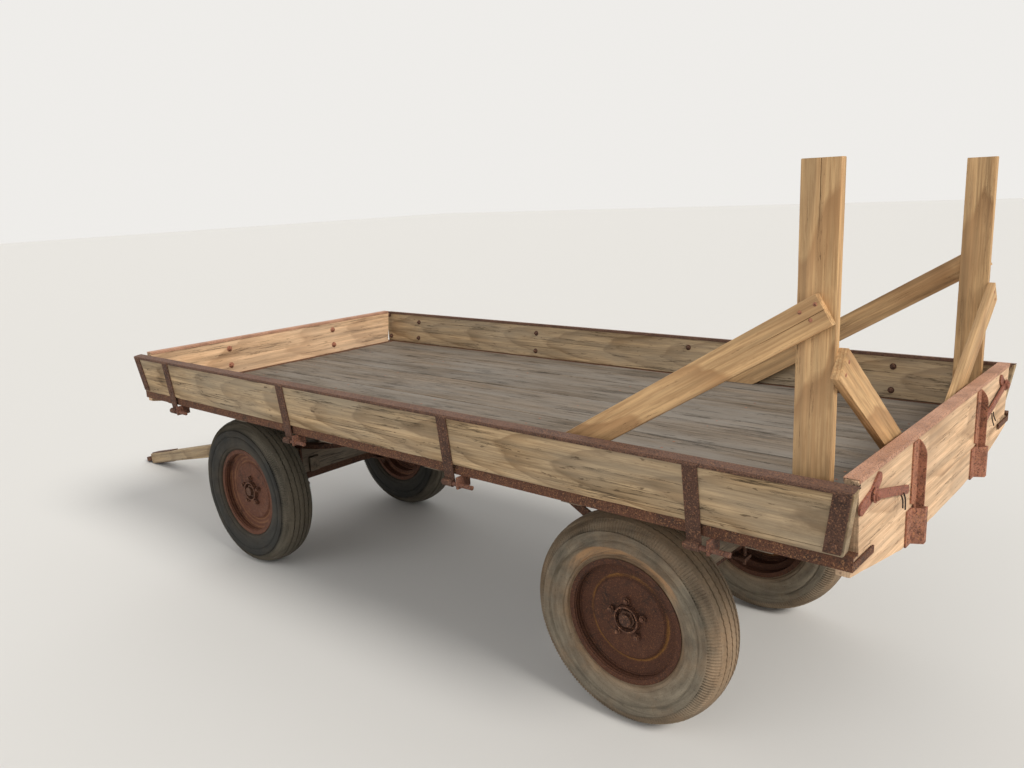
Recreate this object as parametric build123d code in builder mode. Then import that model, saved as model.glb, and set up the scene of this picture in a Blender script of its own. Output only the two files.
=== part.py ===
from build123d import *
from collections import namedtuple
from math import atan2, cos, degrees, radians, sin
import os

# Farm hay wagon with drop sides, a turntable front carriage and a hinged drawbar.
# Millimetres. +X is forwards, +Y the wagon's left, +Z up. The ground is z = 0 and the
# origin lies on it, under the middle of the whole wagon with its drawbar on the ground.

# Bed
BED_LENGTH = 3640
BED_WIDTH = 1680
DECK_TOP_Z = 938
RAIL_HEIGHT = 40
RAIL_FLANGE = 38
RAIL_THICK = 5
PLANK_COUNT = 10
PLANK_GAP = 5
CROSS_COUNT = 6
CROSS_WIDTH = 80
CROSS_HEIGHT = 60
CROSS_END_INSET = 250
SILL_Y = 300
SILL_WIDTH = 90
SILL_HEIGHT = 54
SILL_OVERHANG = 180
CROSS_TAPER = 385
CROSS_END_HEIGHT = 6
FIT_GAP = 1

# Ends of the bed: distances inwards from the outermost end plane
CORNER_LEG_LENGTH = 155
END_BOARD_INSET = 5
END_BOARD_THICK = 36
LOWER_PLANK_INSET = 8
LOWER_PLANK_THICK = 36
LOWER_PLANK_TOP_Z = 920
LOWER_PLANK_MIDDLE_Z = 806
LOWER_PLANK_END_Z = 880
LOWER_PLANK_MIDDLE_HALF = 420
END_BOARD_TOP_Z = 1130
END_BOARD_GAP = 28
CAP_THICK = 3
CAP_LEG = 10
CAP_END = 4

# Angle-iron stakes that carry the end boards, and the pockets for their shanks
STAKE_Y = 355
STAKE_WIDTH = 50
STAKE_LEG = 27
STAKE_THICK = 5
STAKE_SHANK = 20
STAKE_STEP = 10
STAKE_TOP_Z = 1117
STAKE_DROP = 47
STAKE_BULGE = (0.71, 0.37)
POCKET_WALL = 6
POCKET_GAP = 2
POCKET_EAR = 42
POCKET_TOP_Z = 916
POCKET_BOTTOM_Z = 806

# Drop sides
SIDE_LEAN = 7
SIDE_THICK = 34
SIDE_HINGE_Z = 868
SIDE_HINGE_OUT = 14
SIDE_BOARD_LOW = 75
SIDE_BOARD_HIGH = 250
SIDE_OVERHANG = 8
STRAP_COUNT = 4
STRAP_REAR_INSET = 437
STRAP_FRONT_INSET = 305
STRAP_WIDTH = 46
STRAP_THICK = 6
BARREL_RADIUS = 13
HINGE_PIN_RADIUS = 8
RUNNING_CLEARANCE = 0.05
LUG_THICK = 8
LUG_SPACE = 26
STUB_LENGTH = 92
PIN_PROUD = 6
END_PLATE_WIDTH = 46
END_SLANT = 30

# Uprights at the rear corners with their braces
POST_INSET = 88
POST_WIDTH = 100
POST_THICK = 28
POST_TOP_Z = 1905
POST_GAP = 15
BRACE_THICK = 25
BRACE_WIDTH = 88
LONG_BRACE_FOOT = 1120
LONG_BRACE_HEAD_Z = 1545
SHORT_BRACE_FOOT_Y = 113
SHORT_BRACE_HEAD_Z = 1410

# Running gear
WHEEL_RADIUS = 386
TYRE_WIDTH = 185
TREAD_HALF = 62
SHOULDER_DROP = 14
TYRE_WALL = 18
TYRE_BULGE = 8
WHEEL_Y = 520
REAR_AXLE_INSET = 855
KINGPIN_INSET = 440
RIM_FLANGE_RADIUS = 230
BEAD_RADIUS = 215
BEAD_HALF = 64
RIM_WELL_RADIUS = 189
RIM_WELL_HALF = 28
RIM_HALF_WIDTH = 70
RIM_THICK = 5
RIM_SLOPE = 7
RIM_FIT = 0.5
FLANGE_LIP = 2
DISC_OFFSET = 18
DISC_THICK = 8
DISC_STEP = 10
DISC_STEP_RADIUS = 152
HUB_NOSE_RADIUS = 51
HUB_CUP_RADIUS = 43
HUB_CUP_DEPTH = 24
HUB_FLANGE_RADIUS = 94
HUB_FLANGE_THICK = 14
SPINDLE_RADIUS = 23
LUG_COUNT = 5
LUG_PITCH_RADIUS = 69
LUG_RADIUS = 8
LUG_NUT_RADIUS = 13
LUG_NUT_THICK = 12
LUG_STUD = 20
AXLE_TUBE = 50
AXLE_WALL = 8
AXLE_PLUG = 60
AXLE_HALF = 386
BOLSTER_HALF = 350
BOLSTER_WIDTH = 120
BOLSTER_CUT = 90
REAR_BED_TOP_Z = 600
FRONT_BED_TOP_Z = 560
RING_RADIUS = 300
RING_WIDTH = 46
RING_THICK = 12
RING_GAP = 0.5
KINGPIN_RADIUS = 20
KINGPIN_LIFT = 6
CLAMP_ROD_RADIUS = 8
FRONT_CLAMP_Y = 285
REAR_CLAMP_Y = 200
CLAMP_PLATE_HALF = 30
CLAMP_PLATE_THICK = 12

# Hounds and drawbar
HOUND_HEIGHT = 80
HOUND_WIDTH = 60
HOUND_TAIL = 75
HOUND_TAIL_Y = 174
HOUND_NOSE = 520
HOUND_STRAIGHT = 190
HOUND_CLEARANCE = 6
POLE_PIVOT_AHEAD = 420
POLE_PIN_RADIUS = 12
POLE_SLOPE = 13
POLE_ROOT = 90
POLE_ROOT_BEHIND = 70
POLE_ROOT_AHEAD = 270
POLE_TIP = 72
EYE_OUTER_RADIUS = 50
EYE_BORE_RADIUS = 20
EYE_THICK = 30
EYE_SHANK = 300
SHANK_WIDTH = 54

# Derived places
AXLE_Z = WHEEL_RADIUS
AXLE_TOP_Z = AXLE_Z + AXLE_TUBE / 2
POLE_PIVOT_Z = AXLE_TOP_Z + HOUND_HEIGHT / 2
POCKET_OUT = STAKE_LEG + POCKET_GAP + POCKET_WALL - END_BOARD_INSET
slope_sin = sin(radians(POLE_SLOPE))
slope_cos = cos(radians(POLE_SLOPE))
POLE_LENGTH = (POLE_PIVOT_Z - EYE_THICK / 2 * slope_cos) / slope_sin - EYE_OUTER_RADIUS
POLE_REACH = (POLE_LENGTH + EYE_OUTER_RADIUS) * slope_cos + EYE_THICK / 2 * slope_sin
OVERALL_LENGTH = POCKET_OUT + BED_LENGTH - KINGPIN_INSET + POLE_PIVOT_AHEAD + POLE_REACH
REAR_X = POCKET_OUT - OVERALL_LENGTH / 2
FRONT_X = REAR_X + BED_LENGTH
HALF_WIDTH = BED_WIDTH / 2
RAIL_BOTTOM_Z = DECK_TOP_Z - RAIL_HEIGHT
CROSS_BOTTOM_Z = RAIL_BOTTOM_Z - CROSS_HEIGHT
SILL_BOTTOM_Z = CROSS_BOTTOM_Z - SILL_HEIGHT
REAR_AXLE_X = REAR_X + REAR_AXLE_INSET
KINGPIN_X = FRONT_X - KINGPIN_INSET
PIVOT_X = KINGPIN_X + POLE_PIVOT_AHEAD
RING_BASE_Z = FRONT_BED_TOP_Z + RING_THICK + RING_GAP

End = namedtuple("End", "name x inward")
ENDS = [End("tail", REAR_X, 1), End("head", FRONT_X, -1)]
Side = namedtuple("Side", "name sign")
SIDES = [Side("left", 1), Side("right", -1)]
Wheel = namedtuple("Wheel", "name x outward")
WHEELS = [
    Wheel("front_left", KINGPIN_X, 1),
    Wheel("front_right", KINGPIN_X, -1),
    Wheel("rear_left", REAR_AXLE_X, 1),
    Wheel("rear_right", REAR_AXLE_X, -1),
]
STRAP_PITCH = (BED_LENGTH - STRAP_REAR_INSET - STRAP_FRONT_INSET) / (STRAP_COUNT - 1)
STRAPS = [REAR_X + STRAP_REAR_INSET + STRAP_PITCH * i for i in range(STRAP_COUNT)]


def side_inner_y(height):
    """Y of the left side board's inner face, at a height above its hinge line along the board."""
    lean = radians(SIDE_LEAN)
    inwards = (BARREL_RADIUS + SIDE_THICK) * cos(lean)
    return HALF_WIDTH + SIDE_HINGE_OUT - inwards + height * sin(lean)


END_BOARD_HALF_BOTTOM = side_inner_y(SIDE_BOARD_LOW) - END_BOARD_GAP
END_BOARD_HALF_TOP = side_inner_y(SIDE_BOARD_HIGH) - END_BOARD_GAP
POST_OUTER_Y = side_inner_y(SIDE_BOARD_LOW) - BRACE_THICK - POST_GAP

os.makedirs("parts", exist_ok=True)


def save(builder, label):
    """Name the finished piece and write it as its own file."""
    builder.part.label = label
    export_step(builder.part, f"parts/{label}.step")


def box_between(x, y, z):
    """Add a box between the (low, high) limits given for each axis."""
    with Locations(((x[0] + x[1]) / 2, (y[0] + y[1]) / 2, (z[0] + z[1]) / 2)):
        Box(abs(x[1] - x[0]), abs(y[1] - y[0]), abs(z[1] - z[0]))


def cut_box(x, y, z):
    """Cut a box between the (low, high) limits given for each axis."""
    with Locations(((x[0] + x[1]) / 2, (y[0] + y[1]) / 2, (z[0] + z[1]) / 2)):
        Box(abs(x[1] - x[0]), abs(y[1] - y[0]), abs(z[1] - z[0]), mode=Mode.SUBTRACT)


def inset_x(end, inset):
    """X at a distance inwards from an end plane of the bed."""
    return end.x + end.inward * inset


# Deck: angle irons round the edge, planks inside them
with BuildPart() as deck_frame:
    for side in SIDES:
        outer_y = side.sign * HALF_WIDTH
        web_y = side.sign * (HALF_WIDTH - RAIL_THICK)
        flange_y = side.sign * (HALF_WIDTH - RAIL_FLANGE)
        box_between((REAR_X, FRONT_X), (web_y, outer_y), (RAIL_BOTTOM_Z, DECK_TOP_Z))
        box_between((REAR_X, FRONT_X), (flange_y, outer_y), (DECK_TOP_Z - RAIL_THICK, DECK_TOP_Z))
    for end in ENDS:
        web = inset_x(end, LOWER_PLANK_INSET + LOWER_PLANK_THICK)
        inner = web + end.inward * RAIL_THICK
        flange = web + end.inward * RAIL_FLANGE
        across = (-HALF_WIDTH, HALF_WIDTH)
        box_between((web, inner), across, (RAIL_BOTTOM_Z, DECK_TOP_Z))
        box_between((web, flange), across, (DECK_TOP_Z - RAIL_THICK, DECK_TOP_Z))
        for side in SIDES:
            leg_y = side.sign * (HALF_WIDTH - CORNER_LEG_LENGTH)
            leg_x = inset_x(end, RAIL_THICK)
            leg_z = (RAIL_BOTTOM_Z, LOWER_PLANK_TOP_Z - FIT_GAP)
            box_between((end.x, leg_x), (leg_y, side.sign * HALF_WIDTH), leg_z)
save(deck_frame, "deck_frame")

deck_low = REAR_X + LOWER_PLANK_INSET + LOWER_PLANK_THICK + RAIL_THICK
deck_high = FRONT_X - LOWER_PLANK_INSET - LOWER_PLANK_THICK - RAIL_THICK
deck_half = HALF_WIDTH - RAIL_THICK
plank_pitch = 2 * deck_half / PLANK_COUNT
with BuildPart() as deck_planks:
    for i in range(PLANK_COUNT):
        low_y = -deck_half + plank_pitch * i
        high_y = low_y + plank_pitch - PLANK_GAP
        box_between((deck_low, deck_high), (low_y, high_y), (RAIL_BOTTOM_Z, DECK_TOP_Z))
    add(deck_frame.part, mode=Mode.SUBTRACT)
save(deck_planks, "deck_planks")

cross_pitch = (BED_LENGTH - 2 * CROSS_END_INSET) / (CROSS_COUNT - 1)
taper_y = deck_half - CROSS_TAPER
with BuildPart() as cross_beams:
    for i in range(CROSS_COUNT):
        beam_x = REAR_X + CROSS_END_INSET + cross_pitch * i
        with BuildSketch(Plane.YZ.offset(beam_x - CROSS_WIDTH / 2)):
            with BuildLine():
                Polyline(
                    (0, RAIL_BOTTOM_Z),
                    (deck_half, RAIL_BOTTOM_Z),
                    (deck_half, RAIL_BOTTOM_Z - CROSS_END_HEIGHT),
                    (taper_y, CROSS_BOTTOM_Z),
                    (0, CROSS_BOTTOM_Z),
                    close=True,
                )
            make_face()
            mirror(about=Plane.YZ)
        extrude(amount=CROSS_WIDTH)
save(cross_beams, "cross_beams")

sill_span = (REAR_AXLE_X - SILL_OVERHANG, KINGPIN_X + SILL_OVERHANG)
with BuildPart() as sills:
    for side in SIDES:
        low_y = side.sign * SILL_Y - SILL_WIDTH / 2
        box_between(sill_span, (low_y, low_y + SILL_WIDTH), (SILL_BOTTOM_Z, CROSS_BOTTOM_Z))
save(sills, "sills")

# Ends: fixed lower plank with stake pockets, loose upper board with cap and stakes
stake_foot = POCKET_BOTTOM_Z + POCKET_WALL
for end in ENDS:
    plank_face = inset_x(end, LOWER_PLANK_INSET)
    board_face = inset_x(end, END_BOARD_INSET)
    flange_face = board_face - end.inward * STAKE_THICK
    leg_face = board_face - end.inward * STAKE_LEG
    ear_face = plank_face - end.inward * POCKET_WALL
    pocket_face = end.x - end.inward * POCKET_OUT
    bulge_x = board_face - end.inward * STAKE_LEG * STAKE_BULGE[0]

    with BuildPart() as lower_plank:
        with BuildSketch(Plane.YZ.offset(plank_face)):
            with BuildLine():
                Polyline(
                    (0, LOWER_PLANK_TOP_Z),
                    (deck_half - FIT_GAP, LOWER_PLANK_TOP_Z),
                    (deck_half - FIT_GAP, LOWER_PLANK_END_Z),
                    (LOWER_PLANK_MIDDLE_HALF, LOWER_PLANK_MIDDLE_Z),
                    (0, LOWER_PLANK_MIDDLE_Z),
                    close=True,
                )
            make_face()
            mirror(about=Plane.YZ)
        extrude(amount=end.inward * LOWER_PLANK_THICK)
    save(lower_plank, f"{end.name}_plank")

    with BuildPart() as pockets:
        for side in SIDES:
            leg_y = side.sign * STAKE_Y - STAKE_WIDTH / 2
            shank_side = leg_y + STAKE_SHANK + POCKET_GAP
            leg_side = leg_y + STAKE_THICK + POCKET_GAP
            back_side = leg_y - POCKET_GAP
            with BuildSketch(Plane.XY.offset(POCKET_BOTTOM_Z)):
                with BuildLine():
                    Polyline(
                        (plank_face, shank_side + POCKET_WALL + POCKET_EAR),
                        (ear_face, shank_side + POCKET_WALL + POCKET_EAR),
                        (ear_face, shank_side + POCKET_WALL + POCKET_GAP),
                        (pocket_face, leg_side + POCKET_WALL),
                        (pocket_face, back_side - POCKET_WALL),
                        (ear_face, back_side - POCKET_WALL),
                        (ear_face, back_side - POCKET_WALL - POCKET_EAR),
                        (plank_face, back_side - POCKET_WALL - POCKET_EAR),
                        close=True,
                    )
                make_face()
            extrude(amount=POCKET_TOP_Z - POCKET_BOTTOM_Z)
            with BuildSketch(Plane.XY.offset(stake_foot)):
                with BuildLine():
                    Polyline(
                        (plank_face, shank_side),
                        (flange_face - end.inward * POCKET_GAP, shank_side),
                        (leg_face - end.inward * POCKET_GAP, leg_side),
                        (leg_face - end.inward * POCKET_GAP, back_side),
                        (plank_face, back_side),
                        close=True,
                    )
                make_face()
            extrude(amount=POCKET_TOP_Z - stake_foot, mode=Mode.SUBTRACT)
    save(pockets, f"{end.name}_pockets")

    with BuildPart() as board:
        with BuildSketch(Plane.YZ.offset(board_face)):
            with BuildLine():
                Polyline(
                    (-END_BOARD_HALF_BOTTOM, LOWER_PLANK_TOP_Z + FIT_GAP),
                    (END_BOARD_HALF_BOTTOM, LOWER_PLANK_TOP_Z + FIT_GAP),
                    (END_BOARD_HALF_TOP, END_BOARD_TOP_Z),
                    (-END_BOARD_HALF_TOP, END_BOARD_TOP_Z),
                    close=True,
                )
            make_face()
        extrude(amount=end.inward * END_BOARD_THICK)
    save(board, f"{end.name}_board")

    with BuildPart() as end_cap:
        cap_outer = board_face - end.inward * CAP_THICK
        cap_inner = inset_x(end, END_BOARD_INSET + END_BOARD_THICK + CAP_THICK)
        inner_face = inset_x(end, END_BOARD_INSET + END_BOARD_THICK)
        cap_span = (-END_BOARD_HALF_TOP, END_BOARD_HALF_TOP)
        leg_z = (END_BOARD_TOP_Z - CAP_LEG, END_BOARD_TOP_Z + CAP_THICK)
        leg_half = END_BOARD_HALF_TOP - CAP_END
        box_between((cap_outer, cap_inner), cap_span, (END_BOARD_TOP_Z, END_BOARD_TOP_Z + CAP_THICK))
        box_between((cap_outer, board_face), (-leg_half, leg_half), leg_z)
        box_between((inner_face, cap_inner), (-leg_half, leg_half), leg_z)
    save(end_cap, f"{end.name}_cap")

    with BuildPart() as stakes:
        for side in SIDES:
            leg_y = side.sign * STAKE_Y - STAKE_WIDTH / 2
            with BuildSketch(Plane.YZ.offset(board_face)):
                with BuildLine():
                    Polyline(
                        (leg_y, stake_foot),
                        (leg_y + STAKE_SHANK, stake_foot),
                        (leg_y + STAKE_SHANK, POCKET_TOP_Z + STAKE_STEP),
                        (leg_y + STAKE_WIDTH, POCKET_TOP_Z + 2 * STAKE_STEP),
                        (leg_y + STAKE_WIDTH, STAKE_TOP_Z),
                        (leg_y, STAKE_TOP_Z),
                        close=True,
                    )
                make_face()
            extrude(amount=-end.inward * STAKE_THICK)
            with BuildSketch(Plane.XZ.offset(-leg_y)):
                with BuildLine():
                    Polyline(
                        (flange_face, STAKE_TOP_Z),
                        (board_face, STAKE_TOP_Z),
                        (board_face, stake_foot),
                        (leg_face, stake_foot),
                        (leg_face, STAKE_TOP_Z - STAKE_DROP),
                    )
                    ThreePointArc(
                        (leg_face, STAKE_TOP_Z - STAKE_DROP),
                        (bulge_x, STAKE_TOP_Z - STAKE_DROP * STAKE_BULGE[1]),
                        (flange_face, STAKE_TOP_Z),
                    )
                make_face()
            extrude(amount=-STAKE_THICK)
    save(stakes, f"{end.name}_stakes")

# Latches on the tail board: a bent hasp at each end, with a lever on its pivot bolt
LATCH_TOP_IN = 142
LATCH_TOP_DOWN = 33
LATCH_PIVOT_IN = 95
LATCH_PIVOT_DOWN = 63
LATCH_TOE_IN = 19
LATCH_TOE_DOWN = 80
LEVER_IN = 270
LEVER_DOWN = 66
board_corner = Vector(END_BOARD_HALF_TOP, END_BOARD_TOP_Z)
LATCH_TOP = board_corner - Vector(LATCH_TOP_IN, LATCH_TOP_DOWN)
LATCH_PIVOT = board_corner - Vector(LATCH_PIVOT_IN, LATCH_PIVOT_DOWN)
LATCH_TOE = board_corner - Vector(LATCH_TOE_IN, LATCH_TOE_DOWN)
LEVER_END = LATCH_PIVOT - Vector(LEVER_IN, LEVER_DOWN)
LATCH_WIDTH = 34
LATCH_THICK = 6
LEVER_WIDTH = 25
PIVOT_BOLT_RADIUS = 15
PIVOT_BOLT_LENGTH = 20


def bar_outline(start, stop, width, sign):
    """Sketch a round-ended flat bar between two (y, z) points, mirrored for sign -1."""
    middle = (start + stop) / 2
    SlotCenterPoint((sign * middle.X, middle.Y), (sign * stop.X, stop.Y), width)


latch_face = REAR_X + END_BOARD_INSET
with BuildPart() as latches:
    for side in SIDES:
        with BuildSketch(Plane.YZ.offset(latch_face)):
            bar_outline(LATCH_TOP, LATCH_PIVOT, LATCH_WIDTH, side.sign)
            bar_outline(LATCH_PIVOT, LATCH_TOE, LATCH_WIDTH, side.sign)
        extrude(amount=-LATCH_THICK)
        with BuildSketch(Plane.YZ.offset(latch_face - LATCH_THICK)):
            bar_outline(LATCH_PIVOT, LEVER_END, LEVER_WIDTH, side.sign)
        extrude(amount=-LATCH_THICK)
        with BuildSketch(Plane.YZ.offset(latch_face)):
            with Locations((side.sign * LATCH_PIVOT.X, LATCH_PIVOT.Y)):
                Circle(PIVOT_BOLT_RADIUS)
        extrude(amount=-PIVOT_BOLT_LENGTH)
save(latches, "tail_latches")

# Drop sides, drawn upright on their hinge line and leaned outwards about it
for side in SIDES:
    hinge_y = side.sign * (HALF_WIDTH + SIDE_HINGE_OUT)
    hinge_line = Axis((0, hinge_y, SIDE_HINGE_Z), (1, 0, 0))
    lean = -side.sign * SIDE_LEAN
    board_outer = hinge_y - side.sign * BARREL_RADIUS
    board_inner = board_outer - side.sign * SIDE_THICK
    low_z = SIDE_HINGE_Z + SIDE_BOARD_LOW
    high_z = SIDE_HINGE_Z + SIDE_BOARD_HIGH

    with BuildPart() as side_board:
        with BuildSketch(Plane.XZ.offset(-board_outer)):
            with BuildLine():
                Polyline(
                    (REAR_X + END_SLANT - SIDE_OVERHANG, low_z),
                    (FRONT_X - END_SLANT + SIDE_OVERHANG, low_z),
                    (FRONT_X + SIDE_OVERHANG, high_z),
                    (REAR_X - SIDE_OVERHANG, high_z),
                    close=True,
                )
            make_face()
        extrude(amount=side.sign * SIDE_THICK)
    side_board.part = side_board.part.rotate(hinge_line, lean)
    save(side_board, f"side_board_{side.name}")

    strap_outer = board_outer + side.sign * STRAP_THICK
    with BuildPart() as side_iron:
        cap_y = (board_inner - side.sign * CAP_THICK, board_outer + side.sign * CAP_THICK)
        cap_x = (REAR_X - SIDE_OVERHANG, FRONT_X + SIDE_OVERHANG)
        leg_x = (REAR_X, FRONT_X)
        box_between(cap_x, cap_y, (high_z, high_z + CAP_THICK))
        leg_z = (high_z - CAP_LEG, high_z)
        box_between(leg_x, (cap_y[0], board_inner), leg_z)
        box_between(leg_x, (board_outer, cap_y[1]), leg_z)
        for strap_x in STRAPS:
            strap_span = (strap_x - STRAP_WIDTH / 2, strap_x + STRAP_WIDTH / 2)
            box_between(strap_span, (board_outer, strap_outer), (SIDE_HINGE_Z, high_z))
            with BuildSketch(Plane.YZ.offset(strap_span[0])):
                with Locations((hinge_y, SIDE_HINGE_Z)):
                    Circle(BARREL_RADIUS)
            extrude(amount=STRAP_WIDTH)
        for end in ENDS:
            top_x = inset_x(end, -SIDE_OVERHANG / 2)
            low_x = top_x + end.inward * END_SLANT
            with BuildSketch(Plane.XZ.offset(-board_outer)):
                with BuildLine():
                    Polyline(
                        (top_x, high_z),
                        (low_x, low_z),
                        (low_x + end.inward * END_PLATE_WIDTH, low_z),
                        (top_x + end.inward * END_PLATE_WIDTH, high_z),
                        close=True,
                    )
                make_face()
            extrude(amount=-side.sign * STRAP_THICK)
        with BuildSketch(Plane.YZ.offset(REAR_X)):
            with Locations((hinge_y, SIDE_HINGE_Z)):
                Circle(HINGE_PIN_RADIUS + RUNNING_CLEARANCE)
        extrude(amount=BED_LENGTH, mode=Mode.SUBTRACT)
    side_iron.part = side_iron.part.rotate(hinge_line, lean)
    save(side_iron, f"side_iron_{side.name}")

    with BuildPart() as hinge_pins:
        for strap_x in STRAPS:
            rear_x = strap_x - STRAP_WIDTH / 2 - STUB_LENGTH
            front_x = strap_x + STRAP_WIDTH / 2 + PIN_PROUD
            plate_x = strap_x - STRAP_WIDTH / 2 - LUG_SPACE
            with BuildSketch(Plane.YZ.offset(rear_x)):
                with Locations((hinge_y, SIDE_HINGE_Z)):
                    Circle(HINGE_PIN_RADIUS)
            extrude(amount=front_x - rear_x)
            plate_y = (side.sign * (HALF_WIDTH - RAIL_FLANGE), hinge_y + side.sign * BARREL_RADIUS)
            plate_z = (SIDE_HINGE_Z - BARREL_RADIUS, RAIL_BOTTOM_Z)
            box_between((plate_x - LUG_THICK, plate_x), plate_y, plate_z)
    save(hinge_pins, f"hinge_pins_{side.name}")

# Uprights and braces, nailed to the deck inside the boards
long_foot_x = REAR_X + LONG_BRACE_FOOT
long_head_x = REAR_X + POST_INSET + BRACE_WIDTH / 4
long_rise = LONG_BRACE_HEAD_Z - DECK_TOP_Z
long_angle = degrees(atan2(long_rise, long_foot_x - long_head_x))
short_head_y = POST_OUTER_Y
short_rise = SHORT_BRACE_HEAD_Z - DECK_TOP_Z
short_angle = degrees(atan2(short_rise, short_head_y - SHORT_BRACE_FOOT_Y))
for side in SIDES:
    post_inner_y = side.sign * (POST_OUTER_Y - POST_THICK)
    post_outer_y = side.sign * POST_OUTER_Y
    with BuildPart() as post:
        post_span = (REAR_X + POST_INSET, REAR_X + POST_INSET + POST_WIDTH)
        box_between(post_span, (post_inner_y, post_outer_y), (DECK_TOP_Z, POST_TOP_Z))
    save(post, f"post_{side.name}")

    with BuildPart() as braces:
        with BuildSketch(Plane.XZ.offset(-post_outer_y)):
            half = BRACE_WIDTH / 2 / sin(radians(long_angle))
            across = Vector(sin(radians(long_angle)), cos(radians(long_angle))) * (BRACE_WIDTH / 2)
            head = Vector(long_head_x, LONG_BRACE_HEAD_Z)
            with BuildLine():
                Polyline(
                    (long_foot_x - half, DECK_TOP_Z),
                    (long_foot_x + half, DECK_TOP_Z),
                    (head.X + across.X, head.Y + across.Y),
                    (head.X - across.X, head.Y - across.Y),
                    close=True,
                )
            make_face()
        extrude(amount=-side.sign * BRACE_THICK)
        with BuildSketch(Plane.YZ.offset(REAR_X + POST_INSET)):
            half = BRACE_WIDTH / 2 / sin(radians(short_angle))
            across = Vector(sin(radians(short_angle)), -cos(radians(short_angle))) * (BRACE_WIDTH / 2)
            with BuildLine():
                Polyline(
                    (side.sign * (SHORT_BRACE_FOOT_Y - half), DECK_TOP_Z),
                    (side.sign * (SHORT_BRACE_FOOT_Y + half), DECK_TOP_Z),
                    (side.sign * (short_head_y + across.X), SHORT_BRACE_HEAD_Z + across.Y),
                    (side.sign * (short_head_y - across.X), SHORT_BRACE_HEAD_Z - across.Y),
                    close=True,
                )
            make_face()
        extrude(amount=-BRACE_THICK)
    save(braces, f"braces_{side.name}")

# Axles: a square tube with a round spindle and a nut at each end
HUB_INNER = 118
HUB_OUTER = 54
NUT_RADIUS = 34
NUT_THICK = 14
NUT_GAP = 2
SPINDLE_PROUD = 6
for axle_name, axle_x in (("front_axle", KINGPIN_X), ("rear_axle", REAR_AXLE_X)):
    with BuildPart() as axle:
        half_tube = AXLE_TUBE / 2
        bore_half = half_tube - AXLE_WALL
        tube_y = (-AXLE_HALF, AXLE_HALF)
        spindle_end = WHEEL_Y + HUB_OUTER + SPINDLE_PROUD
        tube_z = (AXLE_Z - half_tube, AXLE_Z + half_tube)
        bore_z = (AXLE_Z - bore_half, AXLE_Z + bore_half)
        box_between((axle_x - half_tube, axle_x + half_tube), tube_y, tube_z)
        cut_box((axle_x - bore_half, axle_x + bore_half), tube_y, bore_z)
        for side in SIDES:
            root_y = side.sign * (AXLE_HALF - AXLE_PLUG)
            with BuildSketch(Plane.XZ.offset(-root_y)):
                with Locations((axle_x, AXLE_Z)):
                    Rectangle(AXLE_TUBE, AXLE_TUBE)
            extrude(amount=-side.sign * AXLE_PLUG)
            with BuildSketch(Plane.XZ.offset(-side.sign * AXLE_HALF)):
                with Locations((axle_x, AXLE_Z)):
                    Circle(SPINDLE_RADIUS)
            extrude(amount=-side.sign * (spindle_end - AXLE_HALF))
            nut_y = side.sign * (WHEEL_Y + HUB_OUTER - HUB_CUP_DEPTH + NUT_GAP)
            with BuildSketch(Plane.XZ.offset(-nut_y)):
                with Locations((axle_x, AXLE_Z)):
                    RegularPolygon(NUT_RADIUS, 6)
            extrude(amount=-side.sign * NUT_THICK)
    save(axle, axle_name)

# Wooden bolsters over the axles
with BuildPart() as rear_axle_bed:
    bed_span = (REAR_AXLE_X - BOLSTER_WIDTH / 2, REAR_AXLE_X + BOLSTER_WIDTH / 2)
    box_between(bed_span, (-BOLSTER_HALF, BOLSTER_HALF), (AXLE_TOP_Z, REAR_BED_TOP_Z))
save(rear_axle_bed, "rear_axle_bed")

with BuildPart() as rear_bolster:
    with BuildSketch(Plane.YZ.offset(REAR_AXLE_X - BOLSTER_WIDTH / 2)):
        with BuildLine():
            Polyline(
                (-BOLSTER_HALF + BOLSTER_CUT, REAR_BED_TOP_Z),
                (BOLSTER_HALF - BOLSTER_CUT, REAR_BED_TOP_Z),
                (BOLSTER_HALF, REAR_BED_TOP_Z + BOLSTER_CUT),
                (BOLSTER_HALF, SILL_BOTTOM_Z),
                (-BOLSTER_HALF, SILL_BOTTOM_Z),
                (-BOLSTER_HALF, REAR_BED_TOP_Z + BOLSTER_CUT),
                close=True,
            )
        make_face()
    extrude(amount=BOLSTER_WIDTH)
save(rear_bolster, "rear_bolster")

with BuildPart() as front_bolster:
    bed_span = (KINGPIN_X - BOLSTER_WIDTH / 2, KINGPIN_X + BOLSTER_WIDTH / 2)
    box_between(bed_span, (-BOLSTER_HALF, BOLSTER_HALF), (RING_BASE_Z + RING_THICK, SILL_BOTTOM_Z))
    with BuildSketch(Plane.XY.offset(RING_BASE_Z)):
        with Locations((KINGPIN_X, 0)):
            Circle(KINGPIN_RADIUS)
    extrude(amount=SILL_BOTTOM_Z - RING_BASE_Z, mode=Mode.SUBTRACT)
save(front_bolster, "front_bolster")

for ring_name, base_z in (("turntable_upper", RING_BASE_Z), ("turntable_lower", FRONT_BED_TOP_Z)):
    with BuildPart() as ring:
        with BuildSketch(Plane.XY.offset(base_z)):
            with Locations((KINGPIN_X, 0)):
                Circle(RING_RADIUS)
                Circle(RING_RADIUS - RING_WIDTH, mode=Mode.SUBTRACT)
        extrude(amount=RING_THICK)
    save(ring, ring_name)

with BuildPart() as kingpin:
    pin_foot = AXLE_TOP_Z + KINGPIN_LIFT
    with BuildSketch(Plane.XY.offset(pin_foot)):
        with Locations((KINGPIN_X, 0)):
            Circle(KINGPIN_RADIUS)
    extrude(amount=SILL_BOTTOM_Z - pin_foot)
save(kingpin, "kingpin")

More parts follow.
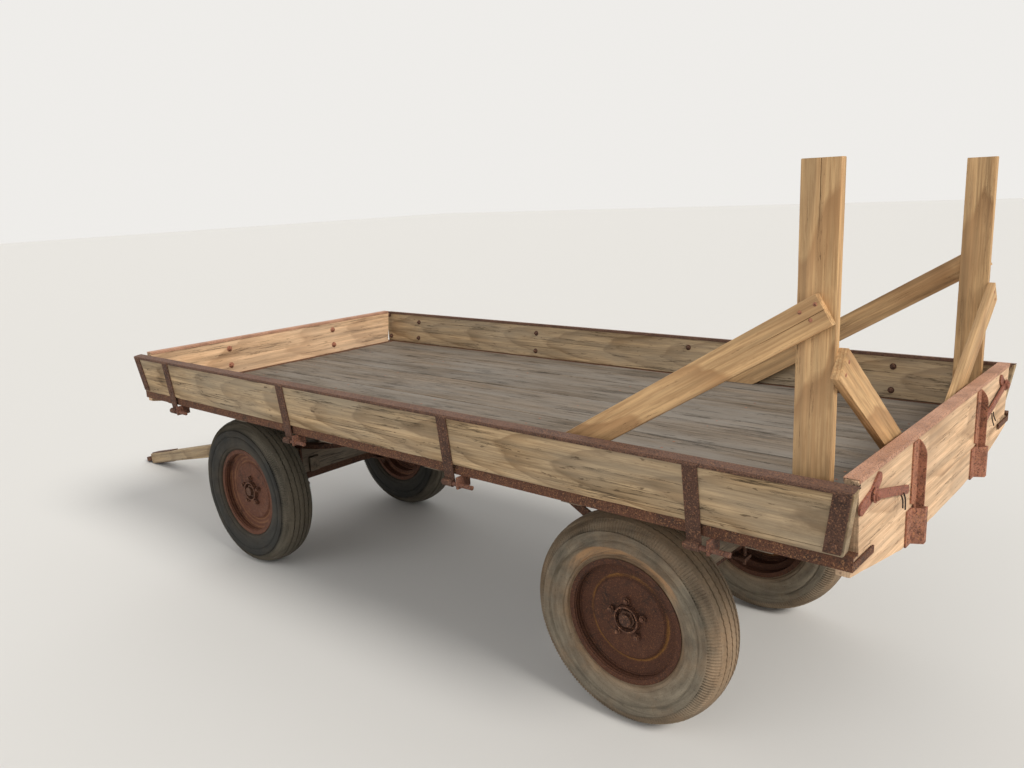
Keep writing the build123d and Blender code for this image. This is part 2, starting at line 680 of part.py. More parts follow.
# Hounds: two arms through the front axle bed that hold the drawbar's pin
hound_z = (AXLE_TOP_Z, AXLE_TOP_Z + HOUND_HEIGHT)
nose_inner = POLE_ROOT / 2 + HOUND_CLEARANCE
with BuildPart() as hounds:
    for side in SIDES:
        with BuildSketch(Plane.XY.offset(hound_z[0])):
            with BuildLine():
                Polyline(
                    (KINGPIN_X - HOUND_TAIL, side.sign * HOUND_TAIL_Y),
                    (KINGPIN_X + HOUND_NOSE - HOUND_STRAIGHT, side.sign * nose_inner),
                    (KINGPIN_X + HOUND_NOSE, side.sign * nose_inner),
                    (KINGPIN_X + HOUND_NOSE, side.sign * (nose_inner + HOUND_WIDTH)),
                    (KINGPIN_X + HOUND_NOSE - HOUND_STRAIGHT, side.sign * (nose_inner + HOUND_WIDTH)),
                    (KINGPIN_X - HOUND_TAIL, side.sign * (HOUND_TAIL_Y + HOUND_WIDTH)),
                    close=True,
                )
            make_face()
        extrude(amount=HOUND_HEIGHT)
    with BuildSketch(Plane.XZ.offset(-HALF_WIDTH)):
        with Locations((PIVOT_X, POLE_PIVOT_Z)):
            Circle(POLE_PIN_RADIUS)
    extrude(amount=BED_WIDTH, mode=Mode.SUBTRACT)
save(hounds, "hounds")

with BuildPart() as front_axle_bed:
    bed_span = (KINGPIN_X - BOLSTER_WIDTH / 2, KINGPIN_X + BOLSTER_WIDTH / 2)
    box_between(bed_span, (-BOLSTER_HALF, BOLSTER_HALF), (AXLE_TOP_Z, FRONT_BED_TOP_Z))
    add(hounds.part, mode=Mode.SUBTRACT)
    with BuildSketch(Plane.XY.offset(AXLE_TOP_Z)):
        with Locations((KINGPIN_X, 0)):
            Circle(KINGPIN_RADIUS + RUNNING_CLEARANCE)
    extrude(amount=FRONT_BED_TOP_Z - AXLE_TOP_Z, mode=Mode.SUBTRACT)
save(front_axle_bed, "front_axle_bed")

STAPLE_THICK = 10
STAPLE_WIDTH = 40
STAPLE_NEAR = 45
STAPLE_RISE = 22
STAPLE_INSET = 8
POLE_PIN_PROUD = 14
with BuildPart() as pole_staple:
    staple_span = (PIVOT_X + STAPLE_NEAR, PIVOT_X + STAPLE_NEAR + STAPLE_WIDTH)
    staple_half = nose_inner + HOUND_WIDTH - STAPLE_INSET
    legs_top = hound_z[1] + STAPLE_RISE
    box_between(staple_span, (-staple_half, staple_half), (legs_top, legs_top + STAPLE_THICK))
    for side in SIDES:
        leg = (side.sign * (staple_half - STAPLE_THICK), side.sign * staple_half)
        box_between(staple_span, leg, (hound_z[1], legs_top))
    pin_half = nose_inner + HOUND_WIDTH + POLE_PIN_PROUD
    with BuildSketch(Plane.XZ.offset(-pin_half)):
        with Locations((PIVOT_X, POLE_PIVOT_Z)):
            Circle(POLE_PIN_RADIUS)
    extrude(amount=2 * pin_half)
save(pole_staple, "pole_staple")

# Clamps that hold the timbers on each axle: a plate underneath and a rod on each side
Clamp = namedtuple("Clamp", "name x y top_z")
CLAMPS = [
    Clamp("front_clamps", KINGPIN_X, FRONT_CLAMP_Y, FRONT_BED_TOP_Z),
    Clamp("rear_clamps", REAR_AXLE_X, REAR_CLAMP_Y, SILL_BOTTOM_Z),
]
for clamp in CLAMPS:
    with BuildPart() as clamps:
        rod_out = BOLSTER_WIDTH / 2 + CLAMP_ROD_RADIUS
        plate_half = rod_out + 2 * CLAMP_ROD_RADIUS
        under_z = AXLE_Z - AXLE_TUBE / 2
        for side in SIDES:
            middle = side.sign * clamp.y
            plate_y = (middle - CLAMP_PLATE_HALF, middle + CLAMP_PLATE_HALF)
            plate_z = (under_z - CLAMP_PLATE_THICK, under_z)
            box_between((clamp.x - plate_half, clamp.x + plate_half), plate_y, plate_z)
            with BuildSketch(Plane.XY.offset(under_z - CLAMP_PLATE_THICK)):
                with Locations((clamp.x - rod_out, middle), (clamp.x + rod_out, middle)):
                    Circle(CLAMP_ROD_RADIUS)
            extrude(amount=clamp.top_z - under_z + CLAMP_PLATE_THICK - FIT_GAP)
    save(clamps, clamp.name)

# Stays from the rear axle bed forward to the sills
STAY_RUN = 620
STAY_HEIGHT = 46
STAY_THICK = 10
STAY_INSET = 20
STAY_HEAD = 70
with BuildPart() as rear_stays:
    for side in SIDES:
        stay_y = side.sign * (SILL_Y - STAY_INSET)
        foot_x = REAR_AXLE_X + BOLSTER_WIDTH / 2
        head_x = foot_x + STAY_RUN
        with BuildSketch(Plane.XZ.offset(-stay_y)):
            with BuildLine():
                Polyline(
                    (foot_x, AXLE_TOP_Z),
                    (head_x + STAY_HEAD, SILL_BOTTOM_Z),
                    (head_x, SILL_BOTTOM_Z),
                    (foot_x, AXLE_TOP_Z + STAY_HEIGHT),
                    close=True,
                )
            make_face()
        extrude(amount=side.sign * STAY_THICK)
save(rear_stays, "rear_stays")

# Wheels: each profile is drawn above the axle and turned about it
for wheel in WHEELS:
    centre_y = wheel.outward * WHEEL_Y
    axle_line = Axis((wheel.x, centre_y, AXLE_Z), (0, 1, 0))

    def at(across, radius):
        """A profile point: across is outwards from the tyre's middle, radius from the axle."""
        return (centre_y + wheel.outward * across, AXLE_Z + radius)

    half = TYRE_WIDTH / 2
    shoulder = WHEEL_RADIUS - SHOULDER_DROP
    buttress = shoulder - SHOULDER_DROP - TYRE_WALL
    belly = (buttress + BEAD_RADIUS) / 2 + TYRE_WALL
    root = RIM_FLANGE_RADIUS + TYRE_WALL
    tread_root = shoulder - TYRE_WALL
    tread_inner = TREAD_HALF - FLANGE_LIP
    with BuildPart() as tyre:
        with BuildSketch(Plane.YZ.offset(wheel.x)):
            with BuildLine():
                for edge in (1, -1):
                    Polyline(
                        at(edge * (BEAD_HALF - TYRE_WALL), BEAD_RADIUS),
                        at(edge * BEAD_HALF, BEAD_RADIUS),
                        at(edge * BEAD_HALF, RIM_FLANGE_RADIUS + FLANGE_LIP),
                        at(edge * (RIM_HALF_WIDTH + TYRE_BULGE), root),
                    )
                    Spline(
                        at(edge * (RIM_HALF_WIDTH + TYRE_BULGE), root),
                        at(edge * half, belly),
                        at(edge * (half - TYRE_BULGE), buttress),
                        at(edge * TREAD_HALF, shoulder),
                    )
                    Polyline(
                        at(edge * (BEAD_HALF - TYRE_WALL), BEAD_RADIUS),
                        at(edge * (RIM_HALF_WIDTH - TYRE_BULGE), root),
                        at(edge * (half - TYRE_WALL), belly),
                        at(edge * tread_inner, tread_root),
                    )
                ThreePointArc(at(TREAD_HALF, shoulder), at(0, WHEEL_RADIUS), at(-TREAD_HALF, shoulder))
                Line(at(tread_inner, tread_root), at(-tread_inner, tread_root))
            make_face()
        revolve(axis=axle_line)
    save(tyre, f"tyre_{wheel.name}")

    edge = RIM_HALF_WIDTH
    seat = BEAD_RADIUS - RIM_FIT
    seat_under = seat - RIM_THICK
    well_under = RIM_WELL_RADIUS - RIM_THICK
    well_edge = RIM_WELL_HALF + RIM_SLOPE
    disc_inner = DISC_OFFSET + DISC_STEP
    disc_outer = disc_inner + DISC_THICK
    bore = HUB_NOSE_RADIUS + RIM_FIT
    with BuildPart() as rim:
        with BuildSketch(Plane.YZ.offset(wheel.x)):
            with BuildLine():
                Polyline(
                    at(edge, RIM_FLANGE_RADIUS),
                    at(edge - RIM_THICK, RIM_FLANGE_RADIUS - FLANGE_LIP),
                    at(edge - RIM_THICK, seat),
                    at(well_edge, seat),
                    at(RIM_WELL_HALF, RIM_WELL_RADIUS),
                    at(-RIM_WELL_HALF, RIM_WELL_RADIUS),
                    at(-well_edge, seat),
                    at(RIM_THICK - edge, seat),
                    at(RIM_THICK - edge, RIM_FLANGE_RADIUS - FLANGE_LIP),
                    at(-edge, RIM_FLANGE_RADIUS),
                    at(-edge, seat_under),
                    at(-well_edge, seat_under),
                    at(-RIM_WELL_HALF, well_under),
                    at(DISC_OFFSET - DISC_THICK, well_under),
                    at(DISC_OFFSET - DISC_THICK, well_under - RIM_SLOPE),
                    at(DISC_OFFSET, well_under - 2 * RIM_SLOPE),
                    at(DISC_OFFSET, DISC_STEP_RADIUS),
                    at(disc_inner, DISC_STEP_RADIUS - DISC_STEP),
                    at(disc_inner, bore),
                    at(disc_outer, bore),
                    at(disc_outer, DISC_STEP_RADIUS - RIM_SLOPE),
                    at(DISC_OFFSET + DISC_THICK, DISC_STEP_RADIUS + RIM_THICK),
                    at(DISC_OFFSET + DISC_THICK, well_under - RIM_SLOPE),
                    at(RIM_WELL_HALF, well_under),
                    at(well_edge, seat_under),
                    at(edge, seat_under),
                    close=True,
                )
            make_face()
        revolve(axis=axle_line)
        with BuildSketch(Plane.XZ.offset(-centre_y)):
            with Locations((wheel.x, AXLE_Z)):
                with PolarLocations(LUG_PITCH_RADIUS, LUG_COUNT, start_angle=90):
                    Circle(LUG_RADIUS + RIM_FIT)
        extrude(amount=-wheel.outward * RIM_HALF_WIDTH, mode=Mode.SUBTRACT)
    save(rim, f"rim_{wheel.name}")

    flange_inner = disc_inner - HUB_FLANGE_THICK
    cup_floor = HUB_OUTER - HUB_CUP_DEPTH
    with BuildPart() as hub:
        with BuildSketch(Plane.YZ.offset(wheel.x)):
            with BuildLine():
                Polyline(
                    at(-HUB_INNER, SPINDLE_RADIUS + RUNNING_CLEARANCE),
                    at(-HUB_INNER, HUB_NOSE_RADIUS),
                    at(flange_inner - HUB_FLANGE_THICK, HUB_CUP_RADIUS),
                    at(flange_inner, HUB_NOSE_RADIUS),
                    at(flange_inner, HUB_FLANGE_RADIUS),
                    at(disc_inner, HUB_FLANGE_RADIUS),
                    at(disc_inner, HUB_NOSE_RADIUS),
                    at(HUB_OUTER, HUB_NOSE_RADIUS - FLANGE_LIP),
                    at(HUB_OUTER, HUB_CUP_RADIUS),
                    at(cup_floor, HUB_CUP_RADIUS),
                    at(cup_floor, SPINDLE_RADIUS + RUNNING_CLEARANCE),
                    close=True,
                )
            make_face()
        revolve(axis=axle_line)
        nut_face = centre_y + wheel.outward * disc_outer
        with BuildSketch(Plane.XZ.offset(-nut_face)):
            with Locations((wheel.x, AXLE_Z)):
                with PolarLocations(LUG_PITCH_RADIUS, LUG_COUNT, start_angle=90):
                    RegularPolygon(LUG_NUT_RADIUS, 6)
        extrude(amount=-wheel.outward * LUG_NUT_THICK)
        with BuildSketch(Plane.XZ.offset(-nut_face + wheel.outward * DISC_THICK)):
            with Locations((wheel.x, AXLE_Z)):
                with PolarLocations(LUG_PITCH_RADIUS, LUG_COUNT, start_angle=90):
                    Circle(LUG_RADIUS)
        extrude(amount=-wheel.outward * (DISC_THICK + LUG_STUD))
    save(hub, f"hub_{wheel.name}")

# Drawbar: a tapered pole on the hounds' pin, its eye resting on the ground
pole_plane = Plane(
    origin=(PIVOT_X, 0, POLE_PIVOT_Z),
    x_dir=(slope_cos, 0, -slope_sin),
    z_dir=(0, 1, 0),
)
pole_end = POLE_LENGTH - EYE_OUTER_RADIUS
with BuildPart() as pole:
    with BuildSketch(pole_plane.offset(-POLE_ROOT / 2)):
        with BuildLine():
            Polyline(
                (-POLE_ROOT_BEHIND, -POLE_ROOT / 2),
                (-POLE_ROOT_BEHIND, POLE_ROOT / 2),
                (POLE_ROOT_AHEAD, POLE_ROOT / 2),
                (pole_end - EYE_SHANK, POLE_TIP / 2),
                (pole_end, POLE_TIP / 2),
                (pole_end, -POLE_TIP / 2),
                (pole_end - EYE_SHANK, -POLE_TIP / 2),
                (POLE_ROOT_AHEAD, -POLE_ROOT / 2),
                close=True,
            )
        make_face()
    extrude(amount=POLE_ROOT)
    with BuildSketch(pole_plane.offset(-POLE_ROOT)):
        Circle(POLE_PIN_RADIUS + RUNNING_CLEARANCE)
    extrude(amount=2 * POLE_ROOT, mode=Mode.SUBTRACT)
save(pole, "pole")

eye_plane = Plane(
    origin=(PIVOT_X, 0, POLE_PIVOT_Z),
    x_dir=(slope_cos, 0, -slope_sin),
    z_dir=(slope_sin, 0, slope_cos),
)
with BuildPart() as pole_eye:
    with BuildSketch(eye_plane.offset(-EYE_THICK / 2)):
        with Locations((POLE_LENGTH, 0)):
            Circle(EYE_OUTER_RADIUS)
        with Locations((pole_end + EYE_OUTER_RADIUS / 2, 0)):
            Rectangle(EYE_OUTER_RADIUS, SHANK_WIDTH)
        with Locations((POLE_LENGTH, 0)):
            Circle(EYE_BORE_RADIUS, mode=Mode.SUBTRACT)
    extrude(amount=EYE_THICK)
    shank_half = POLE_TIP / 2 + STRAP_THICK
    with BuildSketch(eye_plane.offset(-shank_half)):
        with Locations((pole_end + STRAP_THICK / 2, 0)):
            Rectangle(STRAP_THICK, SHANK_WIDTH)
    extrude(amount=2 * shank_half)
    for face in (POLE_TIP / 2, -shank_half):
        with BuildSketch(eye_plane.offset(face)):
            with Locations((pole_end - EYE_SHANK / 2, 0)):
                Rectangle(EYE_SHANK, SHANK_WIDTH)
        extrude(amount=STRAP_THICK)
save(pole_eye, "pole_eye")
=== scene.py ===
"""Looks of the farm hay wagon: weathered boards, rusted irons, new pine uprights and worn tyres."""

import logging
import math
import random
from dataclasses import dataclass
from enum import Enum
from typing import Callable

import bmesh
import bpy
from mathutils import Matrix, Vector, noise


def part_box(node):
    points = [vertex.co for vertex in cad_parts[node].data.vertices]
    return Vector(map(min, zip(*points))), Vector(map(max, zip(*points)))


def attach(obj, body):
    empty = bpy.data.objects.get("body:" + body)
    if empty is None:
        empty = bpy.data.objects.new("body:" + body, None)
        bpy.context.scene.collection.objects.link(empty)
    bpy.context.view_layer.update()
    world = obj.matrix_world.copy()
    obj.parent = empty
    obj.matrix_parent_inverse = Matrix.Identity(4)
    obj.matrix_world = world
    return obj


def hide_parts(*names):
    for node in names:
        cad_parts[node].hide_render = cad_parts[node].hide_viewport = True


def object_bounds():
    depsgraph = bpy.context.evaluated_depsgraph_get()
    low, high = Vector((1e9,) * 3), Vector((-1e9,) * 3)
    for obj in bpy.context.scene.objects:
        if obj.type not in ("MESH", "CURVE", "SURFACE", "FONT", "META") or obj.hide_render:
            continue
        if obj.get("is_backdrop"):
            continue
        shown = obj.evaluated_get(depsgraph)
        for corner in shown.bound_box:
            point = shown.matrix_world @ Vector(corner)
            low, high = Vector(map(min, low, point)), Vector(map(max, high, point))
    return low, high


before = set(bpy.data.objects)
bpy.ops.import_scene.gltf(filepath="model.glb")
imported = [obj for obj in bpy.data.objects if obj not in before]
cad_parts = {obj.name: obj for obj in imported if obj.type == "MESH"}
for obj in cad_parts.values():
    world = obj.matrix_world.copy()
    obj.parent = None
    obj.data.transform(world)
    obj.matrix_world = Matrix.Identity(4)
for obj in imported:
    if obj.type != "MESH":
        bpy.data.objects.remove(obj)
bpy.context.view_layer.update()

log = logging.getLogger("hay_wagon")

Colour = tuple[float, float, float]
Place = Vector | tuple[float, float, float]
Edge = tuple[Place, Place]
Socket = bpy.types.NodeSocket

UP = Vector((0, 0, 1))
BACKWARDS = Vector((-1, 0, 0))
ROUND_E = 2.718
WAVE_LENGTH = 0.314  # between two rings of the wave texture at a scale of 1, in metres
PLAIN_ROWS = (0.2, 0.4, 0.6, 0.8)  # shares of a board's width that have points all along it
CHECK_HALF = 0.0009
STEP_HALF = 0.0004
SWELL = 0.0007
WELD_GAP = 1e-5
EASED_ABOVE = math.radians(32)


class Side(Enum):
    """The two long sides, with the sign of their y."""

    LEFT = 1
    RIGHT = -1


class End(Enum):
    """The two ends of the bed, with the sign of the way inwards."""

    TAIL = 1
    HEAD = -1


class Slot(Enum):
    """The record's material slots."""

    DECK = "deck_wood"
    BOARD = "board_wood"
    PINE = "new_pine"
    IRON = "rusty_steel"
    AXLE = "axle_steel"
    TYRE = "tyre"
    RIM = "rim_rust"


class Zone(Enum):
    """The parts of a tyre's section, which wear in their own ways."""

    WALL = "wall"
    LUG = "lug"
    EDGE = "edge"
    RIB = "rib"
    GROOVE = "groove"


def dimmed(colour: Colour, share: float) -> Colour:
    """Returns a colour at a share of its brightness."""
    return tuple(share * part for part in colour)


def round_way(angle: float) -> Vector:
    """Returns the way out from an axle at an angle, from the rear upwards."""
    return Vector((-math.cos(angle), 0, math.sin(angle)))


def ring_about(centre: Vector, across: Vector, other: Vector, radius: float, steps: int) -> list[Vector]:
    """Returns points round a centre, in the plane of two square directions."""
    turns = [2 * math.pi * i / steps for i in range(steps)]
    return [centre + (across * math.cos(turn) + other * math.sin(turn)) * radius for turn in turns]


class Graph:
    """A short way to write one material's nodes."""

    def __init__(self, name: str) -> None:
        """Starts an empty material with its shader.

        Args:
            name: the material's name.
        """
        self.material = bpy.data.materials.new(name)
        self.material.use_nodes = True
        self.tree = self.material.node_tree
        self.tree.nodes.clear()
        self.shader = self.tree.nodes.new("ShaderNodeBsdfPrincipled")
        output = self.tree.nodes.new("ShaderNodeOutputMaterial")
        self.tree.links.new(self.shader.outputs[0], output.inputs[0])

    def put(self, socket: Socket, value: object) -> None:
        """Links a socket, or sets its plain value.

        Args:
            socket: the input that is fed.
            value: another socket, a number or a tuple.
        """
        if isinstance(value, bpy.types.NodeSocket):
            self.tree.links.new(value, socket)
        elif socket.type == "RGBA" and len(value) == 3:
            socket.default_value = (*value, 1.0)
        else:
            socket.default_value = value

    def place(self) -> Socket:
        """Returns the piece's own coordinates, in metres."""
        return self.tree.nodes.new("ShaderNodeTexCoord").outputs["Object"]

    def math(
        self, kind: str, first: object, second: object = 0.0, third: object = 0.0, clamp: bool = False
    ) -> Socket:
        """Does one sum.

        Args:
            kind: the sum's name.
            first: the first value.
            second: the second value.
            third: the third value.
            clamp: whether the result stays between 0 and 1.

        Returns:
            The result.
        """
        node = self.tree.nodes.new("ShaderNodeMath")
        node.operation = kind
        node.use_clamp = clamp
        for socket, value in zip(node.inputs, (first, second, third)):
            self.put(socket, value)
        return node.outputs[0]

    def times(self, first: object, second: object, clamp: bool = False) -> Socket:
        """Returns the product of two values."""
        return self.math("MULTIPLY", first, second, clamp=clamp)

    def plus(self, first: object, second: object) -> Socket:
        """Returns the sum of two values."""
        return self.math("ADD", first, second)

    def scaled(self, value: object, factor: object, offset: object) -> Socket:
        """Returns a value times a factor, plus an offset."""
        return self.math("MULTIPLY_ADD", value, factor, offset)

    def vector(self, kind: str, first: object, second: object = (0.0, 0.0, 0.0)) -> Socket:
        """Does one sum on vectors.

        Args:
            kind: the sum's name.
            first: the first vector.
            second: the second vector.

        Returns:
            The result.
        """
        node = self.tree.nodes.new("ShaderNodeVectorMath")
        node.operation = kind
        self.put(node.inputs[0], first)
        self.put(node.inputs[1], second)
        return node.outputs[0]

    def length(self, vector: Socket) -> Socket:
        """Measures a vector.

        Args:
            vector: the vector.

        Returns:
            Its length.
        """
        node = self.tree.nodes.new("ShaderNodeVectorMath")
        node.operation = "LENGTH"
        self.put(node.inputs[0], vector)
        return node.outputs["Value"]

    def turned(self, vector: Socket, along: Vector, through: Vector, centre: Vector) -> Socket:
        """Turns coordinates into a timber's own.

        Args:
            vector: the coordinates to turn.
            along: the way the grain runs.
            through: the way through the timber's thickness.
            centre: a point on the timber's middle line.

        Returns:
            Coordinates with x along the grain and z through the thickness.
        """
        along = along.normalized()
        through = (through - along * through.dot(along)).normalized()
        turn = Matrix((along, through.cross(along), through))
        moved = self.vector("SUBTRACT", vector, tuple(centre))
        node = self.tree.nodes.new("ShaderNodeMapping")
        self.put(node.inputs["Vector"], moved)
        node.inputs["Rotation"].default_value = turn.to_euler("XYZ")
        return node.outputs[0]

    def split(self, vector: Socket) -> tuple[Socket, Socket, Socket]:
        """Splits a vector.

        Args:
            vector: the vector.

        Returns:
            Its x, y and z.
        """
        node = self.tree.nodes.new("ShaderNodeSeparateXYZ")
        self.put(node.inputs[0], vector)
        return node.outputs[0], node.outputs[1], node.outputs[2]

    def joined(self, x: object, y: object, z: object) -> Socket:
        """Joins three numbers.

        Args:
            x: the first number.
            y: the second number.
            z: the third number.

        Returns:
            Their vector.
        """
        node = self.tree.nodes.new("ShaderNodeCombineXYZ")
        for socket, value in zip(node.inputs, (x, y, z)):
            self.put(socket, value)
        return node.outputs[0]

    def noise(self, vector: Socket, scale: float, detail: float = 3.0, rough: float = 0.55) -> Socket:
        """Makes cloudy noise around a half.

        Args:
            vector: where it is read.
            scale: cells in a metre.
            detail: how many finer layers it has.
            rough: how strong the finer layers are.

        Returns:
            The noise.
        """
        node = self.tree.nodes.new("ShaderNodeTexNoise")
        self.put(node.inputs["Vector"], vector)
        node.inputs["Scale"].default_value = scale
        node.inputs["Detail"].default_value = detail
        node.inputs["Roughness"].default_value = rough
        return node.outputs["Fac"]

    def drawn_out(
        self, own: Socket, along: float, across: float, detail: float = 3.0, rough: float = 0.55
    ) -> Socket:
        """Returns noise by its cells in a metre along the grain and across it."""
        return self.noise(self.vector("MULTIPLY", own, (along, across, across)), 1.0, detail, rough)

    def cells(self, vector: Socket, scale: float) -> tuple[Socket, Socket]:
        """Scatters points.

        Args:
            vector: where they are read.
            scale: points in a metre.

        Returns:
            The distance to the nearest point, and that point's own colour.
        """
        node = self.tree.nodes.new("ShaderNodeTexVoronoi")
        self.put(node.inputs["Vector"], vector)
        node.inputs["Scale"].default_value = scale
        return node.outputs["Distance"], node.outputs["Color"]

    def ramp(self, value: Socket, *stops: tuple[float, object]) -> Socket:
        """Turns a value into colours or levels.

        Args:
            value: what the ramp reads.
            stops: pairs of a place and a colour or a level.

        Returns:
            The colour.
        """
        node = self.tree.nodes.new("ShaderNodeValToRGB")
        self.put(node.inputs[0], value)
        elements = node.color_ramp.elements
        while len(elements) < len(stops):
            elements.new(0.5)
        for element, (place, colour) in zip(elements, stops):
            level = colour if isinstance(colour, tuple) else (colour, colour, colour)
            element.position = place
            element.color = (*level, 1.0)
        return node.outputs[0]

    def rising(self, value: Socket, low: float, high: float) -> Socket:
        """Returns a level that rises from 0 to 1 between two values."""
        return self.ramp(value, (low, 0.0), (high, 1.0))

    def falling(self, value: Socket, low: float, high: float) -> Socket:
        """Returns a level that falls from 1 to 0 between two values."""
        return self.ramp(value, (low, 1.0), (high, 0.0))

    def mix(self, share: object, under: object, over: object, blend: str = "MIX") -> Socket:
        """Lays one colour over another.

        Args:
            share: how much of the upper colour shows.
            under: the lower colour.
            over: the upper colour.
            blend: how the two meet.

        Returns:
            The mixed colour.
        """
        node = self.tree.nodes.new("ShaderNodeMix")
        node.data_type = "RGBA"
        node.blend_type = blend
        colours = [socket for socket in node.inputs if socket.type == "RGBA"]
        self.put(node.inputs[0], share)
        self.put(colours[0], under)
        self.put(colours[1], over)
        return next(socket for socket in node.outputs if socket.type == "RGBA")

    def veil(self, colour: object, mask: object, strength: object, over: object) -> Socket:
        """Returns a colour with another laid over it where a mask shows, at a strength."""
        return self.mix(self.times(mask, strength), colour, over)

    def toned(self, colour: Socket, tone: Socket) -> Socket:
        """Returns a colour made lighter or darker by a level."""
        return self.mix(1.0, colour, self.joined(tone, tone, tone), "MULTIPLY")

    def bump(self, height: Socket, distance: float, strength: float = 1.0) -> Socket:
        """Makes relief out of a height.

        Args:
            height: the height, from 0 to 1.
            distance: metres between 0 and 1.
            strength: how much of it shows.

        Returns:
            The normal.
        """
        node = self.tree.nodes.new("ShaderNodeBump")
        node.inputs["Distance"].default_value = distance
        node.inputs["Strength"].default_value = strength
        self.put(node.inputs["Height"], height)
        return node.outputs[0]

    def done(
        self, colour: object, roughness: object, normal: Socket, metal: float = 0.0, gloss: float = 0.3
    ) -> bpy.types.Material:
        """Feeds the shader.

        Args:
            colour: base colour.
            roughness: how dull it is.
            normal: its relief.
            metal: how metallic it is.
            gloss: how much plain gloss it has.

        Returns:
            The material.
        """
        self.put(self.shader.inputs["Base Color"], colour)
        self.put(self.shader.inputs["Roughness"], roughness)
        self.put(self.shader.inputs["Normal"], normal)
        self.shader.inputs["Metallic"].default_value = metal
        self.shader.inputs["Specular IOR Level"].default_value = gloss
        return self.material


@dataclass(frozen=True)
class Timber:
    """How one board lies: its grain, its thickness and a point on its middle line."""

    along: tuple[float, float, float]
    through: tuple[float, float, float]
    centre: tuple[float, float, float]
    pitch: float = 0.0

    @staticmethod
    def of(node: str, along: tuple[float, float, float], through: tuple[float, float, float]) -> "Timber":
        """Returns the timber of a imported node, about the middle of its box."""
        return Timber(along, through, tuple(middle(node)))


